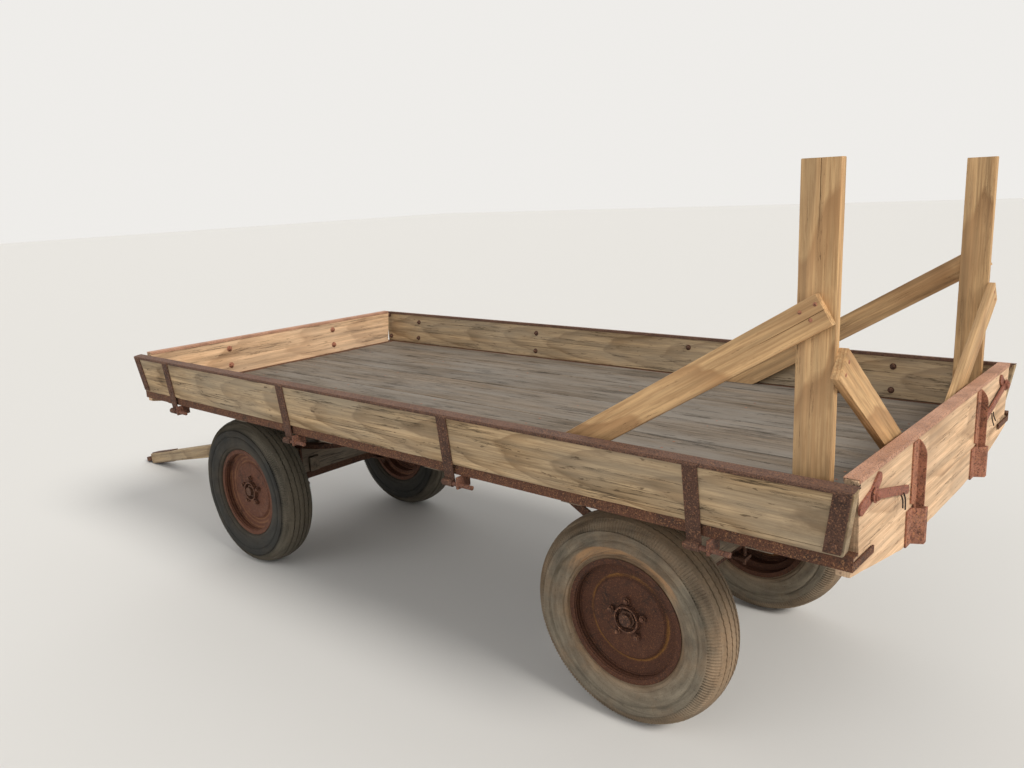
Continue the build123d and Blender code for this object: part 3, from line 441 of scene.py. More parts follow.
@dataclass(frozen=True)
class Wood:
    """A wooden finish: growth rings, fibres, knots, checks and weather."""

    name: str
    early: Colour
    late: Colour
    knot: Colour
    weather: Colour
    weathered: float
    checks: float
    stain: Colour
    stained: float
    ring_gap: float = 0.006
    knots: float = 3.4
    waves: float = 0.014
    pitted: float = 0.7
    roughness: float = 0.8
    relief: float = 0.0012

    def laid(self, graph: Graph, own: Socket, pitch: float, seed: int) -> tuple[Socket, object]:
        """Shifts the grain of each plank in a row, so that no two are alike.

        Args:
            graph: the material's nodes.
            own: the timber's own coordinates.
            pitch: from one plank to the next, or 0 for a single board.
            seed: what makes this timber differ.

        Returns:
            The shifted coordinates, and each plank's tone from 0 to 1.
        """
        tone: object = 0.5
        if pitch:
            x, y, z = graph.split(own)
            row = graph.math("FLOOR", graph.math("DIVIDE", y, pitch))
            chance = graph.tree.nodes.new("ShaderNodeTexWhiteNoise")
            chance.noise_dimensions = "1D"
            graph.put(chance.inputs["W"], graph.plus(row, seed * 1.7))
            tone = chance.outputs["Value"]
            own = graph.joined(graph.scaled(tone, 9.0, x), graph.scaled(row, 0.013, y), z)
        return graph.vector("ADD", own, (seed * 3.1, 0.0, 0.0)), tone

    def grown(self, graph: Graph, own: Socket, seed: int) -> tuple[Socket, Socket]:
        """Lays the growth rings, which bend round the knots.

        Args:
            graph: the material's nodes.
            own: the timber's own coordinates.
            seed: what makes this timber differ.

        Returns:
            How dark the rings are, and the distance to a knot in shares of its size.
        """
        slow = graph.drawn_out(own, 0.9, 5.0, 2.0)
        x, y, z = graph.split(own)
        knot_far, knot_colour = graph.cells(graph.joined(x, y, seed * 0.37), self.knots)
        knot_share = graph.math("DIVIDE", knot_far, graph.scaled(graph.split(knot_colour)[0], 0.02, 0.006))
        fading = graph.math("POWER", ROUND_E, graph.times(knot_share, -0.4))
        depth = graph.plus(graph.scaled(x, 0.018, 0.055), graph.times(slow, self.waves))
        wave = graph.tree.nodes.new("ShaderNodeTexWave")
        wave.wave_type = "RINGS"
        wave.rings_direction = "X"
        wave.wave_profile = "SAW"
        bent = graph.plus(graph.plus(z, depth), graph.times(fading, 0.022))
        graph.put(wave.inputs["Vector"], graph.joined(x, y, bent))
        wave.inputs["Scale"].default_value = WAVE_LENGTH / self.ring_gap
        wave.inputs["Distortion"].default_value = 0.9
        wave.inputs["Detail"].default_value = 2.0
        wave.inputs["Detail Scale"].default_value = 0.25
        rings = graph.ramp(wave.outputs["Fac"], (0.0, 0.0), (0.55, 0.15), (0.93, 1.0), (1.0, 0.1))
        return rings, knot_share

    def cracked(self, graph: Graph, own: Socket) -> Socket:
        """Draws the fine drying cracks.

        Args:
            graph: the material's nodes.
            own: the timber's own coordinates.

        Returns:
            How open they are, from 0 to 1.
        """
        lines = graph.drawn_out(own, 0.8, 30.0, 6.0, 0.65)
        narrow = graph.math("ABSOLUTE", graph.math("SUBTRACT", lines, 0.5))
        breaks = graph.drawn_out(own, 3.0, 14.0, 2.0)
        width = graph.scaled(graph.rising(breaks, 0.5, 0.62), 0.016 * self.checks, 1e-4)
        return graph.math("SUBTRACT", 1.0, graph.math("DIVIDE", narrow, width), clamp=True)

    def build(self, timber: Timber, seed: int) -> bpy.types.Material:
        """Makes the finish for one timber.

        Args:
            timber: how the board lies.
            seed: what makes this board differ.

        Returns:
            The material.
        """
        graph = Graph(f"{self.name}_{seed}")
        own = graph.turned(graph.place(), Vector(timber.along), Vector(timber.through), Vector(timber.centre))
        own, board_tone = self.laid(graph, own, timber.pitch, seed)
        rings, knot_share = self.grown(graph, own, seed)
        crack = self.cracked(graph, own)
        fibres = graph.drawn_out(own, 6.0, 170.0, 5.0, 0.7)
        streaks = graph.drawn_out(own, 1.6, 42.0)
        patches = graph.drawn_out(own, 1.3, 6.0, 4.0, 0.6)
        spots = graph.drawn_out(own, 2.4, 7.0, 6.0, 0.7)
        pits = graph.drawn_out(own, 16.0, 75.0, 3.0, 0.6)

        colour = graph.mix(rings, self.early, self.late)
        colour = graph.veil(colour, graph.rising(fibres, 0.44, 0.58), 0.7, self.late)
        tone = graph.scaled(graph.rising(streaks, 0.36, 0.64), 0.55, 0.7)
        colour = graph.toned(colour, graph.times(tone, graph.scaled(board_tone, 0.4, 0.86)))
        colour = graph.veil(colour, graph.rising(patches, 0.34, 0.66), self.weathered, self.weather)
        colour = graph.veil(colour, graph.rising(spots, 0.56, 0.7), self.stained, self.stain)
        colour = graph.veil(colour, graph.rising(pits, 0.64, 0.7), self.pitted, self.knot)
        knot_rim = graph.ramp(knot_share, (0.0, 0.9), (0.35, 0.55), (0.72, 1.0), (1.0, 0.0))
        colour = graph.mix(knot_rim, colour, self.knot)
        colour = graph.veil(colour, crack, 0.9, dimmed(self.late, 0.18))
        height = graph.plus(graph.times(fibres, 0.5), graph.times(rings, 0.35))
        height = graph.math("SUBTRACT", height, graph.times(crack, 1.2))
        normal = graph.bump(height, self.relief, 0.9)
        return graph.done(colour, graph.scaled(fibres, 0.22, self.roughness - 0.1), normal, gloss=0.25)


@dataclass(frozen=True)
class Rust:
    """Rusted steel: dark scale, a coarse grainy coat, pale bloom, orange flecks and a painted highlight on
    the tops above a height.
    """

    name: str
    scale: Colour
    coat: Colour
    bloom: Colour
    fleck: Colour
    bloomed: float = 0.5
    grain: float = 190.0
    relief: float = 0.0011
    ringed: tuple[float, ...] = ()
    ring: Colour = (0.3, 0.14, 0.04)
    # Height above which the tops get a painted highlight; the default is out of reach, so most finishes have
    # none.
    painted_light_above: float = 9.0

    def build(self, centre: Vector = Vector((0.0, 0.0, 0.0))) -> bpy.types.Material:
        """Makes the finish.

        Args:
            centre: the middle of the wheel that it is on, or the wagon's own origin.

        Returns:
            The material.
        """
        graph = Graph(self.name)
        place = graph.vector("SUBTRACT", graph.place(), tuple(centre))
        broad = graph.noise(place, 7.0, 5.0, 0.6)
        medium = graph.noise(place, 46.0, 6.0, 0.7)
        fine = graph.noise(place, self.grain, 4.0, 0.7)
        spread = graph.plus(graph.times(broad, 0.55), graph.times(medium, 0.45))
        coats = ((0.36, self.scale), (0.5, self.coat), (0.62, self.coat), (0.74, self.bloom))
        colour = graph.ramp(spread, *coats)
        dust = graph.times(graph.rising(graph.noise(place, 21.0, 5.0, 0.75), 0.5, 0.68), self.bloomed)
        height = graph.plus(graph.split(place)[2], graph.times(medium, 0.03))
        # Painted highlight: tops above the given height are lightened towards the bloom colour in broad
        # patches, standing in for sunlight on them; the dust mixed in beside it is real bloom.
        painted_light_top = graph.times(graph.math("GREATER_THAN", height, self.painted_light_above + 0.015), 0.7)
        painted_light_patches = graph.times(painted_light_top, graph.ramp(broad, (0.35, 0.5), (0.6, 1.0)))
        colour = graph.mix(graph.math("MAXIMUM", dust, painted_light_patches), colour, self.bloom)
        colour = graph.veil(colour, graph.falling(fine, 0.38, 0.48), 0.85, dimmed(self.scale, 0.4))
        flecks = graph.noise(graph.vector("ADD", place, (3.0, 1.0, 2.0)), self.grain * 0.8, 3.0)
        colour = graph.veil(colour, graph.rising(flecks, 0.56, 0.64), 0.7, self.fleck)
        if self.ringed:
            x, _, z = graph.split(place)
            wobble = graph.scaled(medium, 0.012, graph.length(graph.joined(x, 0.0, z)))
            worn = graph.ramp(fine, (0.38, 0.35), (0.56, 1.0))
            patchy = graph.times(graph.ramp(broad, (0.4, 0.05), (0.58, 0.9)), worn)
            for radius in self.ringed:
                stops = ((radius, 0.0), (radius + 0.005, 1.0), (radius + 0.007, 1.0), (radius + 0.012, 0.0))
                colour = graph.veil(colour, graph.ramp(wobble, *stops), patchy, self.ring)
        height = graph.plus(graph.times(fine, 0.65), graph.times(medium, 0.5))
        normal = graph.bump(height, self.relief, 0.9)
        return graph.done(colour, graph.scaled(medium, 0.2, 0.68), normal, metal=0.15, gloss=0.35)


@dataclass(frozen=True)
class Rubber:
    """Old tyre rubber: sun-greyed sidewalls, a dusty tread, ochre dust and fine checks."""

    name: str
    rubber: Colour
    grey: Colour
    tread: Colour
    dust: Colour
    dusty: float = 0.5
    beaded: float = 0.6

    def build(self, centre: Vector, creased: bool) -> bpy.types.Material:
        """Makes the finish.

        Args:
            centre: the middle of the wheel that it is on.
            creased: whether dust has caught in a fold above the rim.

        Returns:
            The material.
        """
        graph = Graph(f"{self.name}_creased" if creased else self.name)
        place = graph.vector("SUBTRACT", graph.place(), tuple(centre))
        x, y, z = graph.split(place)
        radius = graph.length(graph.joined(x, 0.0, z))
        way = graph.vector("DIVIDE", graph.joined(x, 0.0, z), graph.joined(radius, radius, radius))

        def round_noise(
            turns: float, outwards: float, sideways: float, detail: float, rough: float
        ) -> Socket:
            """Makes noise that runs round the wheel.

            Args:
                turns: cells round it.
                outwards: cells in a metre outwards.
                sideways: cells in a metre sideways.
                detail: how many finer layers it has.
                rough: how strong the finer layers are.

            Returns:
                The noise.
            """
            around = graph.vector("MULTIPLY", way, (turns, turns, turns))
            across = graph.joined(graph.times(radius, outwards), graph.times(y, sideways), 0.0)
            return graph.noise(graph.vector("ADD", around, across), 1.0, detail, rough)

        rings = round_noise(2.6, 55.0, 30.0, 5.0, 0.68)
        spokes = round_noise(46.0, 18.0, 12.0, 4.0, 0.6)
        clouds = graph.noise(place, 9.0, 5.0, 0.62)
        speck = graph.noise(place, 240.0, 3.0, 0.6)
        colour = graph.mix(graph.ramp(clouds, (0.28, 0.35), (0.66, 1.0)), self.rubber, self.grey)
        wander = graph.scaled(clouds, 0.016, radius)
        colour = graph.mix(graph.ramp(wander, (0.342, 0.0), (0.356, 0.85), (0.38, 0.9)), colour, self.tread)
        colour = graph.toned(colour, graph.scaled(graph.rising(rings, 0.34, 0.66), 0.6, 0.7))
        bead = ((0.236, self.beaded), (0.262, 0.25 * self.beaded), (0.3, 0.0), (0.372, 0.0), (0.386, 0.25))
        patches = graph.noise(graph.vector("ADD", place, (4.0, 2.0, 1.0)), 6.0, 6.0, 0.7)
        lain = graph.plus(graph.ramp(wander, *bead), graph.times(graph.rising(patches, 0.46, 0.64), 0.5))
        share = graph.times(lain, self.dusty, clamp=True)
        if creased:
            fold = graph.ramp(wander, (0.246, 0.0), (0.254, 1.0), (0.282, 1.0), (0.292, 0.0))
            above = graph.ramp(graph.split(way)[2], (0.4, 0.0), (0.75, 0.8))
            caught = graph.times(above, graph.ramp(rings, (0.36, 0.35), (0.56, 1.0)))
            share = graph.math("MAXIMUM", share, graph.times(fold, caught))
        colour = graph.mix(share, colour, self.dust)
        colour = graph.veil(colour, graph.falling(spokes, 0.31, 0.36), 0.4, dimmed(self.rubber, 0.5))
        colour = graph.veil(colour, graph.falling(speck, 0.3, 0.45), 0.45, self.rubber)
        colour = graph.veil(colour, graph.rising(speck, 0.55, 0.7), 0.35, self.grey)
        height = graph.plus(graph.times(rings, 0.5), graph.times(spokes, 0.4))
        height = graph.plus(height, graph.times(speck, 0.4))
        normal = graph.bump(height, 0.0012, 0.8)
        return graph.done(colour, graph.scaled(clouds, 0.15, 0.74), normal, gloss=0.3)


@dataclass(frozen=True)
class Plain:
    """A pale studio surface."""

    name: str
    colour: Colour

    def build(self) -> bpy.types.Material:
        """Makes the finish.

        Returns:
            The material.
        """
        graph = Graph(self.name)
        normal = graph.bump(graph.noise(graph.place(), 3.0), 0.0001, 0.1)
        return graph.done(self.colour, 0.9, normal, gloss=0.1)


class Shape:
    """Gathers one piece's mesh, in the wagon's own place."""

    def __init__(self) -> None:
        """Starts an empty mesh."""
        self.mesh = bmesh.new()

    def loft(self, rings: list[list[Vector]], capped: bool = True, closed: bool = False) -> None:
        """Skins closed rings of points.

        Args:
            rings: the rings, all with the same number of points.
            capped: whether the first and last rings are filled.
            closed: whether the last ring joins the first.
        """
        rows = [[self.mesh.verts.new(point) for point in ring] for ring in rings]
        count = len(rows[0])
        pairs = list(zip(rows, rows[1:])) + ([(rows[-1], rows[0])] if closed else [])
        for near, far in pairs:
            for i in range(count):
                self.mesh.faces.new((near[i], near[(i + 1) % count], far[(i + 1) % count], far[i]))
        if capped and not closed:
            self.mesh.faces.new(list(reversed(rows[0])))
            self.mesh.faces.new(rows[-1])

    def turned(self, profile: list[tuple[float, float]], place: Vector, way: Vector, steps: int = 16) -> None:
        """Turns a profile about a line.

        Args:
            profile: pairs of a height along the line and a radius.
            place: where the line starts.
            way: the line's direction.
            steps: how many sides the round has.
        """
        way = way.normalized()
        across = way.orthogonal().normalized()
        other = way.cross(across)
        rings = [ring_about(place + way * height, across, other, radius, steps) for height, radius in profile]
        self.loft(rings)

    def round_head(self, place: Vector, way: Vector, radius: float = 0.011) -> None:
        """Adds a carriage bolt's domed head, standing on a surface.

        Args:
            place: where it stands.
            way: out of the surface.
            radius: the head's radius.
        """
        rise = radius * 0.45
        steps = [(-0.001, 1.0), (0.0, 1.0), (0.35, 0.93), (0.7, 0.72), (0.92, 0.42), (1.0, 0.12)]
        profile = [(part * rise if part > 0 else part, share * radius) for part, share in steps]
        self.turned(profile, place, way, 14)

    def nut(self, place: Vector, way: Vector, size: float = 0.012, stub: float = 0.008) -> None:
        """Adds a washer, a hexagon nut and the bolt's end, standing on a surface.

        Args:
            place: where it stands.
            way: out of the surface.
            size: the nut's radius.
            stub: how far the bolt reaches out of it.
        """
        bolt, end = size * 0.52, size + stub
        self.turned([(-0.001, size * 1.45), (0.0016, size * 1.45), (0.002, size * 1.4)], place, way, 18)
        self.turned([(0.001, size), (size * 0.85, size), (size, size * 0.86)], place, way, 6)
        self.turned([(size * 0.9, bolt), (end, bolt), (end + 0.001, size * 0.42)], place, way, 12)

    def nail(self, place: Vector, way: Vector, radius: float = 0.0042) -> None:
        """Adds a flat nail head, just proud of a surface."""
        self.turned([(-0.001, radius), (0.0006, radius), (0.0011, radius * 0.7)], place, way, 8)

    def piece(
        self, name: str, material: bpy.types.Material, body: str, slot: Slot, *nodes: str, crisp: float = 40.0
    ) -> None:
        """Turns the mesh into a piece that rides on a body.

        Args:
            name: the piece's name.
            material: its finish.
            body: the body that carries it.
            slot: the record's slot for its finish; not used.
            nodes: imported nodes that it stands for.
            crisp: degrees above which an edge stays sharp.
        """
        bmesh.ops.remove_doubles(self.mesh, verts=self.mesh.verts, dist=1e-6)
        bmesh.ops.recalc_face_normals(self.mesh, faces=self.mesh.faces)
        data = bpy.data.meshes.new(name)
        self.mesh.to_mesh(data)
        self.mesh.free()
        data.polygons.foreach_set("use_smooth", [True] * len(data.polygons))
        data.set_sharp_from_angle(angle=math.radians(crisp))
        data.materials.append(material)
        made = bpy.data.objects.new(name, data)
        bpy.context.scene.collection.objects.link(made)
        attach(made, body)
        if nodes:
            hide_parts(*nodes)
        log.info("%s: %d faces on %s", name, len(data.polygons), body)


def middle(node: str) -> Vector:
    """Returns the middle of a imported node's box."""
    low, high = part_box(node)
    return (low + high) / 2


def dress(node: str, material: bpy.types.Material, edge: float = 0.0015) -> None:
    """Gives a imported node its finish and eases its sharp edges.

    Args:
        node: the node's name.
        material: its finish.
        edge: how far the edges are eased.
    """
    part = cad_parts[node]
    part.data.materials.clear()
    part.data.materials.append(material)
    weld = part.modifiers.new("weld", "WELD")
    weld.merge_threshold = WELD_GAP
    bevel = part.modifiers.new("edges", "BEVEL")
    bevel.width = edge
    bevel.segments = 2
    bevel.limit_method = "ANGLE"
    bevel.angle_limit = EASED_ABOVE
    part.modifiers.new("shading", "WEIGHTED_NORMAL")
    log.info("%s: dressed in %s", node, material.name)


@dataclass
class Board:
    """A sawn board, lofted along its grain, with worn edges and open checks."""

    low: Callable[[float], Vector]
    high: Callable[[float], Vector]
    through: Vector
    thick: float
    seed: int
    wear: float = 0.0024
    checks: int = 4
    pace: float = 0.02
    ledge: float = 0.0
    ledge_low: bool = False
    ledge_high: bool = False
    ledge_ends: bool = False
    ledge_width: float = 0.0375

    def crack_lines(self) -> list[tuple[float, float, float, float, int]]:
        """Returns open checks: a row, where it starts and stops, its depth and its face."""
        chance = random.Random(self.seed)
        rows = [0.1, 0.3, 0.5, 0.7, 0.9]
        lines = []
        for i in range(self.checks):
            row = rows[(i * 2 + self.seed) % 5]
            from_end = chance.random() < 0.6
            reach = chance.uniform(0.06, 0.3)
            start = (0.0 if chance.random() < 0.5 else 1.0 - reach) if from_end else chance.uniform(0.1, 0.7)
            lines.append((row, start, start + reach, chance.uniform(0.003, 0.008), i % 2))
        return lines

    def shares_along(self, length: float) -> list[float]:
        """Places the cross sections, closer at the ends and at ledges.

        Args:
            length: the board's length.

        Returns:
            Their shares of the length.
        """
        count = max(6, int(length / self.pace))
        shares = {i / count for i in range(count + 1)} | {self.wear / length, 1 - self.wear / length}
        if self.ledge_ends:
            for offset in (-STEP_HALF, STEP_HALF):
                shares |= {(self.ledge_width + offset) / length, 1 - (self.ledge_width + offset) / length}
        return sorted(shares)

    def opened(self, share: float, begin: float, end: float) -> float:
        """Works out how far a check is open.

        Args:
            share: the place along the board.
            begin: where the check starts.
            end: where it stops.

        Returns:
            Its share of the full depth.
        """
        if end >= 0.999 and share > begin:
            return min(1.0, (share - begin) / (end - begin) * 2.0)
        if begin == 0.0 and share < end:
            return min(1.0, (end - share) / (end - begin) * 2.0)
        inside = min(share - begin, end - share) / ((end - begin) * 0.5)
        return max(0.0, min(1.0, inside * 3.0))

    def stepped_rows(self, width: float) -> list[tuple[float, float]]:
        """Places the rows on the two sides of each ledge's step.

        Args:
            width: the board's width.

        Returns:
            The rows, each with no dip.
        """
        rows = []
        step = self.ledge_width / width
        for flag, row in ((self.ledge_low, step), (self.ledge_high, 1 - step)):
            if flag:
                rows += [(row - STEP_HALF / width, 0.0), (row + STEP_HALF / width, 0.0)]
        return rows

    def wear_at(self, share: float, start: Vector) -> list[float]:
        """Works out how far the four edges are worn at a place along the board.

        Args:
            share: the place along it; not used.
            start: its low edge there.

        Returns:
            The wear of the front's two edges and the back's two.
        """
        spot = start * 7.0 + Vector((self.seed, 0.0, 0.0))
        worn = []
        for k in range(4):
            chip = max(0.0, noise.noise(spot * 2.2 + Vector((0, 9.0 * k, 0))) - 0.25) * 0.012
            worn.append(self.wear * (0.8 + 0.5 * noise.noise(spot + Vector((0, 0, 5.0 * k)))) + chip * 0.5)
        return worn

    def add_to(self, shape: Shape) -> None:
        """Lofts the board.

        Args:
            shape: the mesh that takes it.
        """
        width = (self.high(0.5) - self.low(0.5)).length
        length = ((self.low(1) + self.high(1)) / 2 - (self.low(0) + self.high(0)) / 2).length
        cracks = self.crack_lines()
        rings = []
        for share in self.shares_along(length):
            start, stop = self.low(share), self.high(share)
            at_end = self.wear if share in (0.0, 1.0) else 0.0
            worn = self.wear_at(share, start)
            near_end = share * length < self.ledge_width or (1 - share) * length < self.ledge_width
            sunk = self.ledge if self.ledge_ends and near_end else 0.0

            def at(row: float, depth: float) -> Vector:
                """Returns a point at a share of the width and a depth from the back."""
                return start.lerp(stop, row) + self.through * depth

            def face(front: bool) -> list[Vector]:
                """Rounds up the points over one broad face.

                Args:
                    front: whether it is the front one.

                Returns:
                    The points, from the low edge to the high one.
                """
                first, second = (worn[0], worn[1]) if front else (worn[2], worn[3])
                rows: list[tuple[float, float]] = [(row, 0.0) for row in PLAIN_ROWS]
                rows += [((first + at_end) / width, 0.0), (1 - (second + at_end) / width, 0.0)]
                for row, begin, end, depth, side in cracks:
                    if side == (0 if front else 1):
                        middle_row = row + 0.035 * noise.noise(Vector((share * 5.0, self.seed, row * 10.0)))
                        gap = CHECK_HALF / width
                        dip = depth * self.opened(share, begin, end)
                        rows += [(middle_row - gap, 0.0), (middle_row, dip), (middle_row + gap, 0.0)]
                rows += self.stepped_rows(width) if front else []
                rows.sort()
                points = []
                for row, dip in rows:
                    spot = Vector((share * length * 9.0, row * 6.0, self.seed + front * 7.0))
                    swell = SWELL * noise.noise(spot)
                    if front:
                        low_step = self.ledge_low and row * width < self.ledge_width
                        high_step = self.ledge_high and (1 - row) * width < self.ledge_width
                        drop = max(sunk, self.ledge if low_step or high_step else 0.0)
                        points.append(at(row, self.thick - dip - drop + (swell if drop == 0.0 else 0.0)))
                    else:
                        points.append(at(row, dip - swell * 0.5))
                return points

            drop_low = max(sunk, self.ledge if self.ledge_low else 0.0)
            drop_high = max(sunk, self.ledge if self.ledge_high else 0.0)
            inset = at_end / width
            ring = face(True)
            ring += [at(1.0 - inset, self.thick - worn[1] - drop_high), at(1.0 - inset, worn[3])]
            ring += list(reversed(face(False)))
            ring += [at(inset, worn[2]), at(inset, self.thick - worn[0] - drop_low)]
            rings.append(ring)
        shape.loft(rings)


def straight(start: Place, stop: Place) -> Callable[[float], Vector]:
    """Returns a straight edge, as a function of the share along it."""
    return lambda share: Vector(start).lerp(Vector(stop), share)


TAN_WOOD = Wood(
    "tan_board", early=(0.44, 0.31, 0.175), late=(0.24, 0.155, 0.08), knot=(0.06, 0.035, 0.02),
    weather=(0.34, 0.29, 0.215), weathered=0.62, checks=1.0, stain=(0.13, 0.085, 0.05), stained=0.5,
)
PALE_WOOD = Wood(
    "pale_board", early=(0.66, 0.44, 0.265), late=(0.43, 0.265, 0.15), knot=(0.13, 0.07, 0.04),
    weather=(0.58, 0.44, 0.31), weathered=0.5, checks=0.8, stain=(0.3, 0.165, 0.1), stained=0.3,
    ring_gap=0.008, pitted=0.5,
)
DECK_WOOD = Wood(
    "deck_plank", early=(0.2, 0.155, 0.11), late=(0.105, 0.078, 0.055), knot=(0.04, 0.03, 0.02),
    weather=(0.235, 0.21, 0.18), weathered=0.85, checks=1.3, stain=(0.06, 0.047, 0.035), stained=0.7,
    roughness=0.86,
)
BEAM_WOOD = Wood(
    "old_beam", early=(0.22, 0.165, 0.11), late=(0.12, 0.085, 0.055), knot=(0.04, 0.03, 0.02),
    weather=(0.26, 0.225, 0.18), weathered=0.7, checks=1.2, stain=(0.08, 0.055, 0.038), stained=0.55,
)
NEW_PINE = Wood(
    "new_pine", early=(0.55, 0.35, 0.17), late=(0.34, 0.185, 0.08), knot=(0.17, 0.075, 0.03),
    weather=(0.5, 0.34, 0.19), weathered=0.35, checks=0.25, stain=(0.26, 0.105, 0.05), stained=0.16,
    ring_gap=0.009, knots=2.2, waves=0.02, pitted=0.15, roughness=0.66, relief=0.0005,
)
RAIL_RUST = Rust(
    "rail_rust", scale=(0.04, 0.022, 0.015), coat=(0.115, 0.047, 0.026), bloom=(0.2, 0.095, 0.052),
    fleck=(0.33, 0.16, 0.07), bloomed=0.3, grain=260.0,
)
# Shaded copy of the capping rust for the side irons and bolts: its coat and bloom are painted darker as
# shade, as if a load above shaded the side caps.
SHADED_SIDE_RUST = Rust(
    "side_rust", scale=(0.04, 0.021, 0.015), coat=(0.088, 0.042, 0.027), bloom=(0.17, 0.092, 0.063),
    fleck=(0.27, 0.13, 0.068), bloomed=0.33, grain=240.0, painted_light_above=1.112,
)
HINGE_RUST = Rust(
    "hinge_rust", scale=(0.05, 0.024, 0.017), coat=(0.15, 0.066, 0.044), bloom=(0.29, 0.155, 0.11),
    fleck=(0.34, 0.15, 0.07), bloomed=0.4,
)
# Lit copy of the capping rust for the tail and head caps: its coat and bloom are painted brighter as
# sunlight, beside the darker copy on the sides.
SUNLIT_CAP_RUST = Rust(
    "sunlit_cap_rust", scale=(0.09, 0.044, 0.029), coat=(0.29, 0.14, 0.088), bloom=(0.66, 0.38, 0.255),
    fleck=(0.5, 0.24, 0.12), bloomed=0.45, grain=240.0, painted_light_above=1.1,
)
STAKE_RUST = Rust(
    "stake_rust", scale=(0.12, 0.052, 0.034), coat=(0.38, 0.165, 0.1), bloom=(0.56, 0.29, 0.19),
    fleck=(0.46, 0.21, 0.1), bloomed=0.35,
)
PLATE_RUST = Rust(
    "plate_rust", scale=(0.11, 0.047, 0.031), coat=(0.36, 0.155, 0.097), bloom=(0.54, 0.28, 0.185),
    fleck=(0.46, 0.21, 0.1), bloomed=0.4,
)
LATCH_RUST = Rust(
    "latch_rust", scale=(0.09, 0.04, 0.03), coat=(0.28, 0.105, 0.068), bloom=(0.42, 0.2, 0.15),
    fleck=(0.4, 0.16, 0.07), bloomed=0.5,
)
BLACK_WIRE = Rust(
    "black_wire", scale=(0.012, 0.009, 0.008), coat=(0.03, 0.019, 0.014), bloom=(0.07, 0.04, 0.03),
    fleck=(0.12, 0.05, 0.03), bloomed=0.2,
)
FRONT_RIM_RUST = Rust(
    "front_rim_rust", scale=(0.045, 0.02, 0.014), coat=(0.12, 0.047, 0.028), bloom=(0.23, 0.12, 0.083),
    fleck=(0.27, 0.11, 0.05), bloomed=0.3, grain=300.0, ringed=(0.158, 0.178, 0.2), ring=(0.29, 0.135, 0.065),
)
REAR_RIM_RUST = Rust(
    "rear_rim_rust", scale=(0.03, 0.0145, 0.0095), coat=(0.086, 0.033, 0.018), bloom=(0.14, 0.064, 0.037),
    fleck=(0.19, 0.078, 0.033), bloomed=0.22, grain=330.0, ringed=(0.157,), ring=(0.3, 0.135, 0.03),
)
HUB_RUST = Rust(
    "hub_rust", scale=(0.04, 0.02, 0.014), coat=(0.115, 0.05, 0.03), bloom=(0.25, 0.13, 0.09),
    fleck=(0.36, 0.17, 0.09), bloomed=0.3,
)
AXLE_RUST = Rust(
    "axle_rust", scale=(0.035, 0.018, 0.013), coat=(0.1, 0.046, 0.028), bloom=(0.17, 0.095, 0.06),
    fleck=(0.28, 0.13, 0.07), bloomed=0.35,
)
FRONT_RUBBER = Rubber(
    "front_rubber", rubber=(0.011, 0.0105, 0.0095), grey=(0.033, 0.032, 0.028), tread=(0.115, 0.1, 0.075),
    dust=(0.23, 0.17, 0.105), dusty=0.2, beaded=0.9,
)
REAR_RUBBER = Rubber(
    "rear_rubber", rubber=(0.052, 0.041, 0.03), grey=(0.2, 0.168, 0.122), tread=(0.2, 0.15, 0.1),
    dust=(0.42, 0.235, 0.11), dusty=0.36, beaded=0.9,
)


@dataclass
class Bed:
    """The flat bed: its angle-iron edge, planks, beams and nails."""

    rear: float
    front: float
    half: float = 0.84
    deck_top: float = 0.938
    rail_bottom: float = 0.898
    web: float = 0.005
    plank_count: int = 10
    plank_gap: float = 0.003
    settled: tuple[float, ...] = (-0.001, 0.0004, -0.0016, 0.0002)
    clearance: float = 0.0004
    ledge: float = 0.0056
    ledge_width: float = 0.0335
    end_inset: float = 0.049
    beam_count: int = 6
    beam_inset: float = 0.25
    nail_offsets: tuple[float, float] = (-0.28, 0.24)
    nail_radius: float = 0.005
    nail_sunk: float = 0.0018

    def beam_places(self) -> list[float]:
        """Returns the x of each cross beam."""
        span = self.front - self.rear - 2 * self.beam_inset
        first, last = self.rear + self.beam_inset, self.beam_count - 1
        return [first + span * i / last for i in range(self.beam_count)]

    def planks(self) -> None:
        """Lays the deck planks and nails them down."""
        shape, nails = Shape(), Shape()
        inner = self.half - self.web
        pitch = 2 * inner / self.plank_count
        z = self.rail_bottom + self.clearance
        x0, x1 = self.rear + self.end_inset, self.front - self.end_inset
        last = self.plank_count - 1
        for i in range(self.plank_count):
            low_y = -inner + pitch * i
            high_y = low_y + pitch - self.plank_gap
            settle = 0.0 if i in (0, last) else self.settled[i % len(self.settled)]
            Board(
                straight((x0, low_y, z), (x1, low_y, z)), straight((x0, high_y, z), (x1, high_y, z)),
                UP, self.deck_top - z + settle, 40 + i, wear=0.0032, checks=4, pace=0.04,
                ledge=self.ledge + settle, ledge_low=i == 0, ledge_high=i == last, ledge_ends=True,
                ledge_width=self.ledge_width,
            ).add_to(shape)
        timber = Timber((1, 0, 0), (0, 0, 1), (0, -inner, self.deck_top), pitch=pitch)
        shape.piece("deck_boards", DECK_WOOD.build(timber, 3), "wagon", Slot.DECK, "deck_planks")
        for x in self.beam_places():
            for i in range(self.plank_count):
                middle_y = -inner + pitch * (i + 0.5)
                for offset in self.nail_offsets:
                    jitter = 0.006 * noise.noise(Vector((x * 9, i * 3.1, offset)))
                    y = middle_y + offset * pitch + jitter
                    spot = Vector((x + jitter * 2, y, self.deck_top - self.nail_sunk))
                    nails.nail(spot, UP, self.nail_radius)
        nails.piece("deck_nails", PLATE_RUST.build(), "wagon", Slot.IRON)

    def build(self) -> None:
        """Builds and dresses the bed."""
        dress("deck_frame", RAIL_RUST.build(), 0.0012)
        self.planks()
        dress("cross_beams", BEAM_WOOD.build(Timber.of("cross_beams", (0, 1, 0), (1, 0, 0)), 5), 0.003)
        dress("sills", BEAM_WOOD.build(Timber.of("sills", (1, 0, 0), (0, 1, 0)), 6), 0.003)


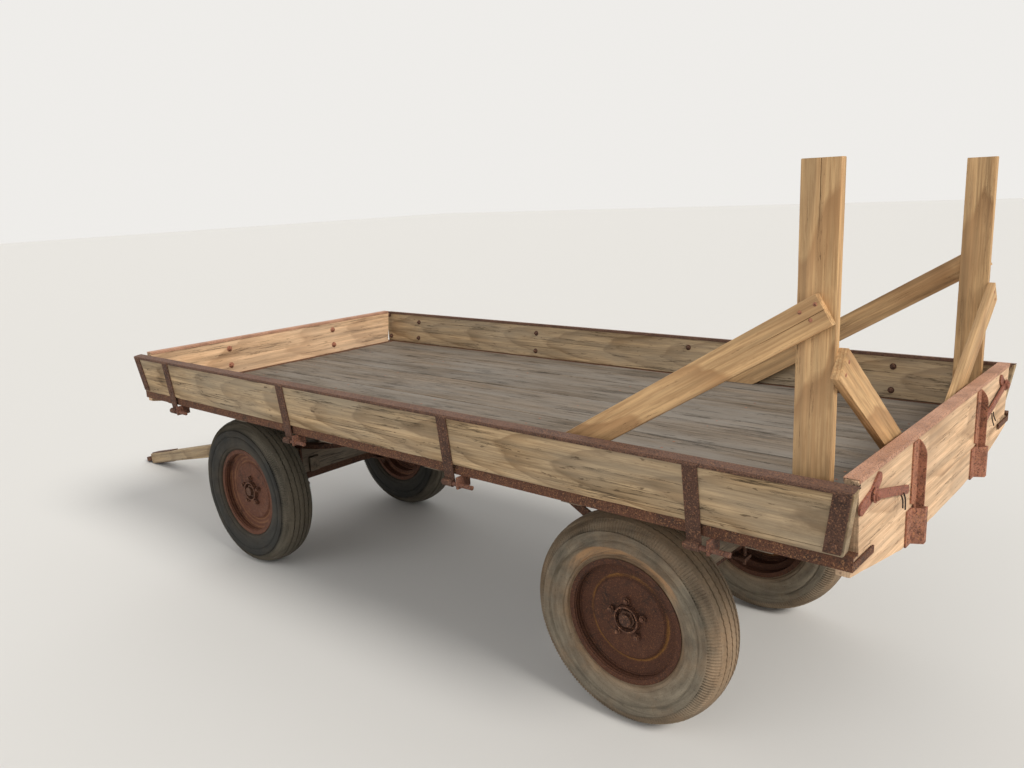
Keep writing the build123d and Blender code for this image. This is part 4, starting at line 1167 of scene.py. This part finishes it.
@dataclass
class DropSide:
    """One hinged side: its plank, cap, straps, end plates and bolts."""

    side: Side
    bed: Bed
    hinge_out: float = 0.014
    hinge_z: float = 0.868
    lean: float = math.radians(7)
    low: float = 0.0665
    high: float = 0.25
    thick: float = 0.034
    back: float = -0.047
    strap_out: float = -0.007
    slant: float = 0.03
    overhang: float = 0.008
    plate_width: float = 0.046
    plate_bolts: tuple[tuple[float, float], ...] = ((0.232, -0.002), (0.096, 0.022))
    strap_inset: float = 0.437
    strap_pitch: float = 0.966
    strap_count: int = 4
    strap_bolts: tuple[float, float] = (0.1, 0.2)

    def at(self, x: float, height: float, out: float) -> Vector:
        """Finds a place on the leaning side.

        Args:
            x: along the wagon.
            height: above the hinge line, along the board.
            out: outwards from the hinge line, square to the board.

        Returns:
            The place.
        """
        sign = self.side.value
        y = self.bed.half + self.hinge_out + height * math.sin(self.lean) + out * math.cos(self.lean)
        return Vector((x, sign * y, self.hinge_z + height * math.cos(self.lean) - out * math.sin(self.lean)))

    def outwards(self) -> Vector:
        """Returns the way square out of the board."""
        return Vector((0, self.side.value * math.cos(self.lean), -math.sin(self.lean)))

    def bolt(self, bolts: Shape, x: float, height: float, head: float) -> None:
        """Adds one bolt through the board.

        Args:
            bolts: the mesh that takes it.
            x: along the wagon.
            height: above the hinge line, along the board.
            head: the head's radius.
        """
        out = self.outwards()
        bolts.round_head(self.at(x, height, self.strap_out), out, head)
        bolts.nut(self.at(x, height, self.back), -out, 0.0095, 0.006)

    def build(self) -> None:
        """Builds and dresses the side."""
        name = self.side.name.lower()
        body = f"side_{name}"
        rear, front = self.bed.rear, self.bed.front
        foot = self.slant - self.overhang
        shape, bolts = Shape(), Shape()
        Board(
            straight(self.at(rear + foot, self.low, self.back), self.at(front - foot, self.low, self.back)),
            straight(
                self.at(rear - self.overhang, self.high, self.back),
                self.at(front + self.overhang, self.high, self.back),
            ),
            self.outwards(), self.thick, 11 + self.side.value, wear=0.003, checks=5, pace=0.022,
        ).add_to(shape)
        centre = self.at((rear + front) / 2, (self.low + self.high) / 2, self.back)
        wood = TAN_WOOD.build(Timber((1, 0, 0), tuple(self.outwards()), tuple(centre)), 12 + self.side.value)
        shape.piece(f"plank_{name}", wood, body, Slot.BOARD, f"side_board_{name}")
        dress(f"side_iron_{name}", SHADED_SIDE_RUST.build(), 0.0012)
        dress(f"hinge_pins_{name}", HINGE_RUST.build(), 0.001)
        for i in range(self.strap_count):
            for height in self.strap_bolts:
                self.bolt(bolts, rear + self.strap_inset + self.strap_pitch * i, height, 0.0095)
        for end_x, inward in ((rear, 1), (front, -1)):
            for height, shift in self.plate_bolts:
                self.bolt(bolts, end_x + inward * (shift + self.plate_width / 2), height, 0.011)
        bolts.piece(f"side_bolts_{name}", SHADED_SIDE_RUST.build(), body, Slot.IRON)


@dataclass
class EndBoards:
    """One end of the bed: the fixed lower plank and pockets, the loose upper board and its irons."""

    end: End
    bed: Bed
    lower_inset: float = 0.008
    lower_thick: float = 0.036
    lower_top: float = 0.92
    board_inset: float = 0.005
    board_thick: float = 0.036
    board_low: float = 0.921
    board_high: float = 1.13
    half_low: float = 0.78849
    half_high: float = 0.80982
    stake_y: float = 0.355
    stake_half: float = 0.025
    stake_thick: float = 0.005
    stake_bolt_y: float = 0.029
    stake_bolt_heights: tuple[float, float] = (0.985, 1.078)
    ear_thick: float = 0.006
    ear_bolt_offsets: tuple[float, float] = (0.053, -0.031)
    ear_bolt_heights: tuple[float, float] = (0.829, 0.893)
    outline: tuple[tuple[float, float], ...] = ((0.0, 0.806), (0.42, 0.806), (0.834, 0.88))

    def lower_edge(self, y: float) -> float:
        """Draws the lower plank's wany edge.

        Args:
            y: the place across the wagon.

        Returns:
            The edge's height there.
        """
        for (near, first), (far, second) in zip(self.outline, self.outline[1:]):
            if abs(y) <= far:
                wane = 0.003 * noise.noise(Vector((y * 5, 2.0, self.end.value)))
                return first + (second - first) * (abs(y) - near) / (far - near) + wane
        return self.outline[-1][1]

    def bolts(self, name: str, lift: str, plane: float) -> None:
        """Adds the bolts of the pockets' ears and of the stakes.

        Args:
            name: the end's name.
            lift: the body of the loose board.
            plane: the x of the bed's end.
        """
        inward = self.end.value
        out = Vector((-inward, 0, 0))
        pocket_bolts, stake_bolts = Shape(), Shape()
        ear_x = plane + inward * (self.lower_inset - self.ear_thick)
        stake_x = plane + inward * (self.board_inset - self.stake_thick)
        inner_x = plane + inward * (self.board_inset + self.board_thick)
        for sign in (-1, 1):
            leg_y = sign * self.stake_y - self.stake_half
            for z in self.ear_bolt_heights:
                for offset in self.ear_bolt_offsets:
                    pocket_bolts.round_head(Vector((ear_x, leg_y + offset, z)), out, 0.0105)
            for z in self.stake_bolt_heights:
                y = leg_y + self.stake_bolt_y
                stake_bolts.round_head(Vector((stake_x, y, z)), out, 0.0095)
                stake_bolts.nut(Vector((inner_x, y, z)), -out, 0.011, 0.007)
        pocket_bolts.piece(f"pocket_bolts_{name}", PLATE_RUST.build(), "wagon", Slot.IRON)
        stake_bolts.piece(f"stake_bolts_{name}", PLATE_RUST.build(), lift, Slot.IRON)

    def build(self) -> None:
        """Builds and dresses the end."""
        name = self.end.name.lower()
        inward = self.end.value
        plane = self.bed.rear if self.end is End.TAIL else self.bed.front
        lift = "tailgate" if self.end is End.TAIL else "headboard"
        out = Vector((-inward, 0, 0))
        reach = self.bed.half - self.bed.web - 0.001
        lower_x = plane + inward * (self.lower_inset + self.lower_thick)
        upper_x = plane + inward * (self.board_inset + self.board_thick)

        def wany_edge(share: float) -> Vector:
            """Returns the lower plank's wany edge."""
            y = -reach + 2 * reach * share
            return Vector((lower_x, y, self.lower_edge(y)))

        lower, upper = Shape(), Shape()
        Board(
            wany_edge, straight((lower_x, -reach, self.lower_top), (lower_x, reach, self.lower_top)),
            out, self.lower_thick, 61 + inward, wear=0.003, checks=3,
        ).add_to(lower)
        wood = PALE_WOOD.build(Timber((0, 1, 0), tuple(out), (plane, 0, 0.87)), 22 + inward)
        lower.piece(f"lower_plank_{name}", wood, "wagon", Slot.BOARD, f"{name}_plank")
        Board(
            straight((upper_x, -self.half_low, self.board_low), (upper_x, self.half_low, self.board_low)),
            straight((upper_x, -self.half_high, self.board_high), (upper_x, self.half_high, self.board_high)),
            out, self.board_thick, 71 + inward, wear=0.003, checks=5,
        ).add_to(upper)
        wood = PALE_WOOD.build(Timber((0, 1, 0), tuple(out), (plane, 0, 1.03)), 26 + inward)
        upper.piece(f"upper_board_{name}", wood, lift, Slot.BOARD, f"{name}_board")
        dress(f"{name}_cap", SUNLIT_CAP_RUST.build(), 0.001)
        dress(f"{name}_stakes", STAKE_RUST.build(), 0.0012)
        dress(f"{name}_pockets", PLATE_RUST.build(), 0.0012)
        self.bolts(name, lift, plane)


@dataclass
class Latches:
    """The tail board's two latches, with their washers, wire pins and a tangle of wire."""

    bed: Bed
    pivot: tuple[float, float] = (0.7148, 1.067)
    lever_tip: tuple[float, float] = (0.4448, 1.001)
    board_end: float = 0.8098
    stand: float = 0.005
    washer: tuple[tuple[float, float], ...] = ((-0.001, 0.021), (0.002, 0.021), (0.0026, 0.0195))
    bolt_radius: float = 0.0125
    wire: float = 0.0021
    pins: tuple[tuple[float, float], ...] = ((0.075, 0.034), (0.052, 0.046))
    pin_bends: int = 8
    tangled: int = 4
    tangle_bends: int = 13

    def strand(self, shape: Shape, points: list[Vector]) -> None:
        """Bends one wire through its points.

        Args:
            shape: the mesh that it goes into.
            points: where the wire passes.
        """
        rings = []
        for i, point in enumerate(points):
            way = (points[min(i + 1, len(points) - 1)] - points[max(i - 1, 0)]).normalized()
            across = way.cross(Vector((0.31, 0.52, 0.79))).normalized()
            rings.append(ring_about(point, across, way.cross(across), self.wire, 8))
        shape.loft(rings)

    def wire_pins(self, shape: Shape, lever: Vector, inwards: Vector) -> None:
        """Hangs the wire pins on one lever.

        Args:
            shape: the mesh that they go into.
            lever: the lever's tip.
            inwards: towards the wagon's middle.
        """
        for start, drop in self.pins:
            pin = []
            for i in range(self.pin_bends + 1):
                share = i / self.pin_bends
                sway = inwards * (0.006 * math.sin(share * 4.2))
                pin.append(lever - inwards * start + sway + Vector((-0.001 * i, 0, 0.006 - drop * share)))
            self.strand(shape, pin)

    def tangle(self, shape: Shape, corner: Vector) -> None:
        """Tangles wire round the left corner.

        Args:
            shape: the mesh that it goes into.
            corner: the tangle's middle.
        """
        for strand in range(self.tangled):
            bends = []
            for i in range(self.tangle_bends + 1):
                share = i / self.tangle_bends
                around = 2 * math.pi * (share * 1.2 + strand * 0.37)
                reach = 0.013 + 0.011 * noise.noise(Vector((i * 0.9, strand * 5.3, 0.4)))
                rise = 0.006 * noise.noise(Vector((i * 0.7, strand * 2.9, 3.1)))
                drift = Vector((0.004 * strand, -0.012 * share + 0.006, rise))
                loop = Vector((0.5 * math.sin(2 * around), math.cos(around), math.sin(around))) * reach
                bends.append(corner + drift + loop)
            self.strand(shape, bends)

    def build(self) -> None:
        """Dresses the latches and adds the small pieces."""
        dress("tail_latches", LATCH_RUST.build(), 0.0012)
        face = self.bed.rear + self.stand
        washers, wires = Shape(), Shape()
        for side in Side:
            sign = side.value
            spot = Vector((face - 0.012, sign * self.pivot[0], self.pivot[1]))
            washers.turned(list(self.washer), spot, BACKWARDS, 24)
            washers.round_head(spot + Vector((-0.008, 0, 0)), BACKWARDS, self.bolt_radius)
            lever = Vector((face - 0.016, sign * self.lever_tip[0], self.lever_tip[1]))
            self.wire_pins(wires, lever, Vector((0, -sign, 0)))
        self.tangle(wires, Vector((face + 0.002, self.board_end + 0.008, 1.104)))
        washers.piece("latch_washers", LATCH_RUST.build(), "tailgate", Slot.IRON)
        wires.piece("latch_wires", BLACK_WIRE.build(), "tailgate", Slot.IRON)


@dataclass
class Uprights:
    """The new pine posts inside the tail corners, with a long and a short brace each."""

    bed: Bed
    post_inset: float = 0.088
    post_width: float = 0.1
    post_thick: float = 0.028
    post_top: float = 1.905
    outer_y: float = 0.77649
    brace_thick: float = 0.025
    brace_width: float = 0.088
    long_foot: float = 1.12
    long_head_z: float = 1.545
    short_foot_y: float = 0.113
    short_head_z: float = 1.41
    clearance: float = 0.0005
    nail_radius: float = 0.0055
    nail_proud: float = 0.0002
    long_nails: tuple[tuple[float, float], ...] = ((0.022, 0.012), (0.032, -0.028), (0.06, -0.01))
    short_nails: tuple[tuple[float, float], ...] = ((-0.03, 0.0), (-0.012, -0.03))

    def timber(self, edges: tuple[Edge, Edge], out: Vector, thick: float, seed: int, checks: int) -> Shape:
        """Saws one timber.

        Args:
            edges: the start and the stop of its low edge, and of its high edge.
            out: the way through its thickness.
            thick: its thickness.
            seed: what makes it differ.
            checks: how many open checks it has.

        Returns:
            Its mesh.
        """
        shape = Shape()
        low, high = (straight(*edge) for edge in edges)
        Board(low, high, out, thick, seed, wear=0.0016, checks=checks, pace=0.03).add_to(shape)
        return shape

    def post(self, side: Side) -> None:
        """Builds one post.

        Args:
            side: the wagon's side.
        """
        sign = side.value
        x0 = self.bed.rear + self.post_inset
        x1 = x0 + self.post_width
        inner = sign * (self.outer_y - self.post_thick)
        z0 = self.bed.deck_top + self.clearance
        edges = (((x0, inner, z0), (x0, inner, self.post_top)), ((x1, inner, z0), (x1, inner, self.post_top)))
        shape = self.timber(edges, Vector((0, sign, 0)), self.post_thick, 81 + sign, 1)
        timber = Timber((0, 0, 1), (0, sign, 0), (x0 + 0.05, inner, 1.4))
        name = side.name.lower()
        shape.piece(f"upright_{name}", NEW_PINE.build(timber, 32 + sign), "wagon", Slot.PINE, f"post_{name}")

    def long_brace(self, side: Side, nails: Shape) -> None:
        """Builds the brace that runs forwards from one post.

        Args:
            side: the wagon's side.
            nails: the mesh that takes its nails.
        """
        sign = side.value
        name = side.name.lower()
        deck = self.bed.deck_top + self.clearance
        foot_x = self.bed.rear + self.long_foot
        head_x = self.bed.rear + self.post_inset + self.brace_width / 4
        rise = self.long_head_z - self.bed.deck_top
        angle = math.atan2(rise, foot_x - head_x)
        half = self.brace_width / 2 / math.sin(angle)
        step = Vector((math.sin(angle), 0, math.cos(angle))) * self.brace_width / 2
        y = sign * self.outer_y
        head = Vector((head_x, y, self.long_head_z))
        out = Vector((0, sign, 0))
        edges = (((foot_x - half, y, deck), head - step), ((foot_x + half, y, deck), head + step))
        shape = self.timber(edges, out, self.brace_thick, 91 + sign, 2)
        timber = Timber((head_x - foot_x, 0, rise), (0, sign, 0), ((head_x + foot_x) / 2, y, 1.25))
        wood = NEW_PINE.build(timber, 36 + sign)
        shape.piece(f"long_brace_{name}", wood, "wagon", Slot.PINE, f"braces_{name}")
        for along, up in self.long_nails:
            proud = sign * (self.brace_thick + self.nail_proud)
            nails.nail(head + Vector((along, proud, up)), out, self.nail_radius)

    def short_brace(self, side: Side, nails: Shape) -> None:
        """Builds the brace that runs inwards from one post.

        Args:
            side: the wagon's side.
            nails: the mesh that takes its nails.
        """
        sign = side.value
        deck = self.bed.deck_top + self.clearance
        x = self.bed.rear + self.post_inset
        span = self.outer_y - self.short_foot_y
        rise = self.short_head_z - self.bed.deck_top
        angle = math.atan2(rise, span)
        half = self.brace_width / 2 / math.sin(angle)
        step = Vector((0, sign * math.sin(angle), -math.cos(angle))) * self.brace_width / 2
        head = Vector((x, sign * self.outer_y, self.short_head_z))
        edges = (
            ((x, sign * (self.short_foot_y - half), deck), head - step),
            ((x, sign * (self.short_foot_y + half), deck), head + step),
        )
        shape = self.timber(edges, BACKWARDS, self.brace_thick, 95 + sign, 2)
        timber = Timber((0, sign * span, rise), (-1, 0, 0), (x, sign * 0.45, 1.2))
        shape.piece(f"short_brace_{side.name.lower()}", NEW_PINE.build(timber, 39 + sign), "wagon", Slot.PINE)
        for across, up in self.short_nails:
            proud = -self.brace_thick - self.nail_proud
            nails.nail(head + Vector((proud, sign * across, up)), BACKWARDS, self.nail_radius)

    def build(self) -> None:
        """Builds both posts, their braces and the nails."""
        for side in Side:
            nails = Shape()
            self.post(side)
            self.long_brace(side, nails)
            self.short_brace(side, nails)
            nails.piece(f"brace_nails_{side.name.lower()}", PLATE_RUST.build(), "wagon", Slot.IRON)


@dataclass
class Wheel:
    """One wheel: a ribbed tyre over its rusty rim and hub."""

    name: str
    side: Side
    creased: bool = False
    width: float = 0.185
    radius: float = 0.386
    bead: float = 0.2152
    steps: int = 600
    notches: int = 200
    notch_depth: float = 0.0042
    zigzag: float = 0.0016
    groove_depth: float = 0.0075
    groove_half: float = 0.0024
    rib_edge: float = 0.0036
    crown_drop: float = 0.0124
    ribs: tuple[float, ...] = (-0.042, -0.0145, 0.0145, 0.042)
    rib_middle: float = 0.0142
    sidewall: tuple[tuple[float, float], ...] = (
        (0.0648, 0.2312), (0.0668, 0.2345), (0.0715, 0.2352), (0.076, 0.2375), (0.0792, 0.242),
        (0.0812, 0.2475), (0.084, 0.249), (0.0852, 0.2515), (0.0862, 0.257), (0.0882, 0.2665),
        (0.0902, 0.278), (0.0915, 0.287), (0.092, 0.295), (0.0906, 0.3), (0.0874, 0.3035),
        (0.0888, 0.3068), (0.0916, 0.3098), (0.0925, 0.318), (0.0922, 0.327),
    )
    shoulder: tuple[tuple[float, float, Zone], ...] = (
        (0.0022, 0.052, Zone.WALL), (0.0046, 0.0495, Zone.LUG), (0.0066, 0.042, Zone.LUG),
        (0.0092, 0.0345, Zone.LUG), (0.0125, 0.028, Zone.LUG), (0.0175, 0.0205, Zone.LUG),
        (0.0235, 0.0155, Zone.LUG), (0.0295, 0.0128, Zone.EDGE),
    )
    rolled: tuple[tuple[float, float, float], ...] = (
        (0.0618, 0.2092, 0.0034), (0.0485, 0.2096, 0.003), (0.0345, 0.207, 0.0042), (0.0235, 0.1815, 0.0036),
        (0.018, 0.1665, 0.0042),
    )
    ridge_steps: int = 96
    ridge_sides: int = 8
    fold_middle: float = 104.0
    fold_half: float = 78.0
    fold_depth: float = 0.0195
    lip_radius: float = 0.284
    lip_half: float = 0.011

    def outline(self) -> list[tuple[float, float, Zone]]:
        """Returns the tyre's section, from the outer bead over the tread to the inner bead."""
        half = self.width / 2
        outer = [(0.0635, self.bead, Zone.WALL)]
        outer += [(across, radius, Zone.WALL) for across, radius in self.sidewall]
        outer += [(half - inset, self.radius - drop, zone) for inset, drop, zone in self.shoulder]
        tread: list[tuple[float, float, Zone]] = []
        for middle_y in reversed(self.ribs):
            crown = self.crown(middle_y)
            low = crown - self.groove_depth
            tread += [
                (middle_y + self.rib_edge, crown, Zone.RIB), (middle_y + self.groove_half, low, Zone.GROOVE),
                (middle_y - self.groove_half, low, Zone.GROOVE), (middle_y - self.rib_edge, crown, Zone.RIB),
            ]
            if middle_y > self.ribs[0]:
                rib_y = middle_y - self.rib_middle
                tread.append((rib_y, self.crown(rib_y), Zone.RIB))
        return outer + tread + [(-across, radius, zone) for across, radius, zone in reversed(outer)]

    def crown(self, across: float) -> float:
        """Returns the rounded tread's radius at a place across it."""
        return self.radius - self.crown_drop * (abs(across) / (self.width / 2 - 0.03)) ** 2

    def section(self, angle: float) -> list[tuple[float, float]]:
        """Shapes the tyre's section at an angle, with its zigzag, notches and fold.

        Args:
            angle: round the axle, from the rear upwards.

        Returns:
            The section's points, each as a place across and a radius.
        """
        turns = angle / (2 * math.pi)
        x, z, sign = math.cos(angle), math.sin(angle), self.side.value
        saw = abs(((turns * self.notches / 2) % 1.0) - 0.5) * 4 - 1
        notch = self.notch_depth if (turns * self.notches + 0.05) % 1.0 < 0.5 else 0.0
        notch *= 0.75 + 0.7 * noise.noise(Vector((x * 3, z * 3, sign)))
        result = []
        for across, radius, zone in self.outline():
            if zone in (Zone.RIB, Zone.GROOVE):
                across += self.zigzag * saw
            if zone is Zone.LUG:
                radius -= notch
                across -= math.copysign(notch, across)
            if 0.25 < radius < 0.36:
                swell = 0.0022 * noise.noise(Vector((x * 2.2, z * 2.2, across * 8 + sign)))
                across += math.copysign(swell, across)
            if self.creased and across > 0.03:
                across, radius = self.folded(angle, across, radius)
            result.append((across, radius))
        return result

    def folded(self, angle: float, across: float, radius: float) -> tuple[float, float]:
        """Sinks the slack outer sidewall over the rim, under a lip that hangs over the fold.

        Args:
            angle: round the axle, from the rear upwards.
            across: outwards from the tyre's middle.
            radius: from the axle.

        Returns:
            The place across and the radius after it.
        """
        turn = (math.degrees(angle) - self.fold_middle) / self.fold_half
        share = max(0.0, 1 - turn * turn)
        share = min(1.0, 1.5 * share * share * (3 - 2 * share))
        lip = self.lip_radius + 0.012 * turn + 0.008 * math.sin(math.degrees(angle) / 19.0)
        sunk = 1 / (1 + math.exp((radius - lip) / 0.0028))
        sunk *= 1 / (1 + math.exp((0.2405 - radius) / 0.0016))
        swollen = math.exp(-((radius - lip - self.lip_half) / self.lip_half) ** 2)
        across += share * (0.0035 * swollen - self.fold_depth * sunk)
        return across, radius - share * 0.0075 * swollen

    def tyre(self, centre: Vector, rubber: Rubber) -> None:
        """Builds the tyre.

        Args:
            centre: the wheel's middle.
            rubber: its finish.
        """
        sign = self.side.value
        inside = ((0.046, self.bead), (0.064, 0.3), (0.055, self.radius - 0.034))
        inner = [(-across, radius) for across, radius in inside] + list(reversed(inside))
        rings = []
        for i in range(self.steps):
            angle = 2 * math.pi * i / self.steps
            out = round_way(angle)
            points = self.section(angle) + inner
            rings.append([centre + Vector((0, sign * across, 0)) + out * radius for across, radius in points])
        shape = Shape()
        shape.loft(rings, closed=True)
        material = rubber.build(centre, self.creased)
        name = self.name
        shape.piece(f"worn_tyre_{name}", material, f"wheel_{name}", Slot.TYRE, f"tyre_{name}", crisp=28)

    def ridges(self, centre: Vector, rim: Rust) -> None:
        """Raises the rolled ridges round the rim.

        Args:
            centre: the wheel's middle.
            rim: the rim's finish.
        """
        shape = Shape()
        sideways = Vector((0, self.side.value, 0))
        for across, radius, reach in self.rolled:
            rings = []
            for i in range(self.ridge_steps):
                out = round_way(2 * math.pi * i / self.ridge_steps)
                spot = centre + out * radius + sideways * across
                rings.append(ring_about(spot, sideways, out, reach, self.ridge_sides))
            shape.loft(rings, closed=True)
        shape.piece(f"rim_ridges_{self.name}", rim.build(centre), f"wheel_{self.name}", Slot.RIM)

    def build(self) -> None:
        """Builds and dresses the wheel."""
        centre = middle(f"tyre_{self.name}")
        at_rear = self.name.startswith("rear")
        rim = REAR_RIM_RUST if at_rear else FRONT_RIM_RUST
        self.tyre(centre, REAR_RUBBER if at_rear else FRONT_RUBBER)
        dress(f"rim_{self.name}", rim.build(centre), 0.0015)
        dress(f"hub_{self.name}", HUB_RUST.build(centre), 0.001)
        self.ridges(centre, rim)


@dataclass
class RunningGear:
    """Both axles with their timbers, the turntable, the hounds and the drawbar."""

    slope: float = math.radians(13)
    clamp_foot: float = 0.349
    clamp_reach: float = 0.068
    front_clamp_y: float = 0.285
    rear_clamp_y: float = 0.2

    def clamp_nuts(self, end: str, y: float, iron: bpy.types.Material, body: str) -> None:
        """Adds the nuts under the clamps of one axle.

        Args:
            end: the axle's end of the wagon.
            y: how far the clamps stand from the middle.
            iron: their finish.
            body: the body that carries them.
        """
        x = middle(f"{end}_axle").x
        nuts = Shape()
        for across in (-1, 1):
            for side in (-1, 1):
                foot = Vector((x + side * self.clamp_reach, across * y, self.clamp_foot))
                nuts.nut(foot, Vector((0, 0, -1)), 0.013, 0.012)
        nuts.piece(f"clamp_nuts_{end}", iron, body, Slot.AXLE)

    def build(self) -> None:
        """Dresses the gear and adds its nuts."""
        iron = AXLE_RUST.build()
        for node in ("rear_axle", "front_axle", "rear_clamps", "front_clamps", "rear_stays", "kingpin"):
            dress(node, iron, 0.0012)
        for node in ("turntable_upper", "turntable_lower", "pole_staple", "pole_eye"):
            dress(node, iron, 0.001)
        for seed, node in enumerate(("rear_axle_bed", "rear_bolster", "front_bolster", "front_axle_bed"), 50):
            dress(node, BEAM_WOOD.build(Timber.of(node, (0, 1, 0), (1, 0, 0)), seed), 0.004)
        dress("hounds", BEAM_WOOD.build(Timber.of("hounds", (1, 0, 0), (0, 1, 0)), 56), 0.004)
        along = (math.cos(self.slope), 0, -math.sin(self.slope))
        dress("pole", TAN_WOOD.build(Timber.of("pole", along, (0, 1, 0)), 58), 0.006)
        self.clamp_nuts("front", self.front_clamp_y, iron, "front_carriage")
        self.clamp_nuts("rear", self.rear_clamp_y, iron, "wagon")


@dataclass
class Studio:
    """The camera of the photograph, a pale floor and soft light."""

    bed: Bed
    behind: float = 0.67967
    aside: float = 2.85276
    height: float = 1.85888
    azimuth: float = -0.848
    pitch: float = 0.221
    roll: float = -0.046
    focal: float = 30.095
    sensor: float = 36.0
    floor: Colour = (0.7, 0.693, 0.676)
    floor_half: float = 60.0
    floor_drop: float = 0.0005
    sky_colour: Colour = (1.0, 0.982, 0.952)
    sky_light: float = 0.5
    sky_seen: float = 0.86

    def camera(self) -> None:
        """Sets up the camera."""
        flat = math.cos(self.pitch)
        look = Vector((math.cos(self.azimuth) * flat, math.sin(self.azimuth) * flat, -math.sin(self.pitch)))
        right = look.cross(UP).normalized()
        up = right.cross(look)
        turned_right = right * math.cos(self.roll) + up * math.sin(self.roll)
        turned_up = -right * math.sin(self.roll) + up * math.cos(self.roll)
        data = bpy.data.cameras.new("camera")
        data.lens = self.focal
        data.sensor_width = self.sensor
        data.sensor_fit = "HORIZONTAL"
        camera = bpy.data.objects.new("camera", data)
        turn = Matrix((turned_right, turned_up, -look)).transposed().to_4x4()
        place = Vector((self.bed.rear - self.behind, self.aside, self.height))
        camera.matrix_world = Matrix.Translation(place) @ turn
        bpy.context.scene.collection.objects.link(camera)
        bpy.context.scene.camera = camera

    def lamp(self, name: str, way: Vector, strength: float, softness: float, colour: Colour) -> None:
        """Hangs a broad soft light.

        Args:
            name: its name.
            way: from the wagon towards the light.
            strength: how bright it is.
            softness: how wide it is, in degrees.
            colour: its colour.
        """
        data = bpy.data.lights.new(name, "SUN")
        data.energy = strength
        data.angle = math.radians(softness)
        data.color = colour
        lamp = bpy.data.objects.new(name, data)
        lamp.matrix_world = way.to_track_quat("Z", "Y").to_matrix().to_4x4()
        bpy.context.scene.collection.objects.link(lamp)

    def floor_sheet(self) -> None:
        """Lays the floor."""
        shape = bmesh.new()
        bmesh.ops.create_grid(shape, x_segments=8, y_segments=8, size=self.floor_half)
        data = bpy.data.meshes.new("floor")
        shape.to_mesh(data)
        shape.free()
        data.materials.append(Plain("pale_floor", self.floor).build())
        floor = bpy.data.objects.new("floor", data)
        floor.location = (0, 0, -self.floor_drop)
        bpy.context.scene.collection.objects.link(floor)
        floor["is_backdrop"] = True

    def sky(self) -> None:
        """Sets the even light all round, and a plain pale backdrop behind it."""
        world = bpy.data.worlds.new("studio")
        bpy.context.scene.world = world
        world.use_nodes = True
        nodes, links = world.node_tree.nodes, world.node_tree.links
        nodes.clear()
        rays = nodes.new("ShaderNodeLightPath")
        seen = rays.outputs["Is Camera Ray"]
        for ray in ("Is Glossy Ray", "Is Transmission Ray"):
            either = nodes.new("ShaderNodeMath")
            either.operation = "MAXIMUM"
            links.new(seen, either.inputs[0])
            links.new(rays.outputs[ray], either.inputs[1])
            seen = either.outputs[0]
        strength = nodes.new("ShaderNodeMapRange")
        strength.inputs["To Min"].default_value = self.sky_light
        strength.inputs["To Max"].default_value = self.sky_seen
        links.new(seen, strength.inputs["Value"])
        background = nodes.new("ShaderNodeBackground")
        background.inputs["Color"].default_value = (*self.sky_colour, 1.0)
        links.new(strength.outputs[0], background.inputs["Strength"])
        output = nodes.new("ShaderNodeOutputWorld")
        links.new(background.outputs[0], output.inputs[0])

    def build(self) -> None:
        """Sets the scene."""
        self.camera()
        self.floor_sheet()
        self.sky()
        self.lamp("key", Vector((-5.0, 0.6, 3.6)), strength=2.5, softness=18.0, colour=(1.0, 0.965, 0.91))
        self.lamp("fill", Vector((0.5, 6.0, 2.6)), strength=0.75, softness=60.0, colour=(0.97, 0.98, 1.0))
        self.lamp("back", Vector((4.5, -4.0, 2.2)), strength=0.7, softness=70.0, colour=(1.0, 0.99, 0.97))
        bpy.context.scene.view_settings.view_transform = "Standard"


def main() -> None:
    """Builds the wagon's looks, piece by piece."""
    logging.basicConfig(level=logging.INFO, format="%(message)s")
    low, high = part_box("deck_frame")
    bed = Bed(low.x, high.x)
    Studio(bed).build()
    bed.build()
    for side in Side:
        DropSide(side, bed).build()
    for end in End:
        EndBoards(end, bed).build()
    Latches(bed).build()
    Uprights(bed).build()
    Wheel("front_left", Side.LEFT).build()
    Wheel("front_right", Side.RIGHT).build()
    Wheel("rear_left", Side.LEFT, creased=True).build()
    Wheel("rear_right", Side.RIGHT).build()
    RunningGear().build()
    low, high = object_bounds()


if __name__ == "__main__":
    main()
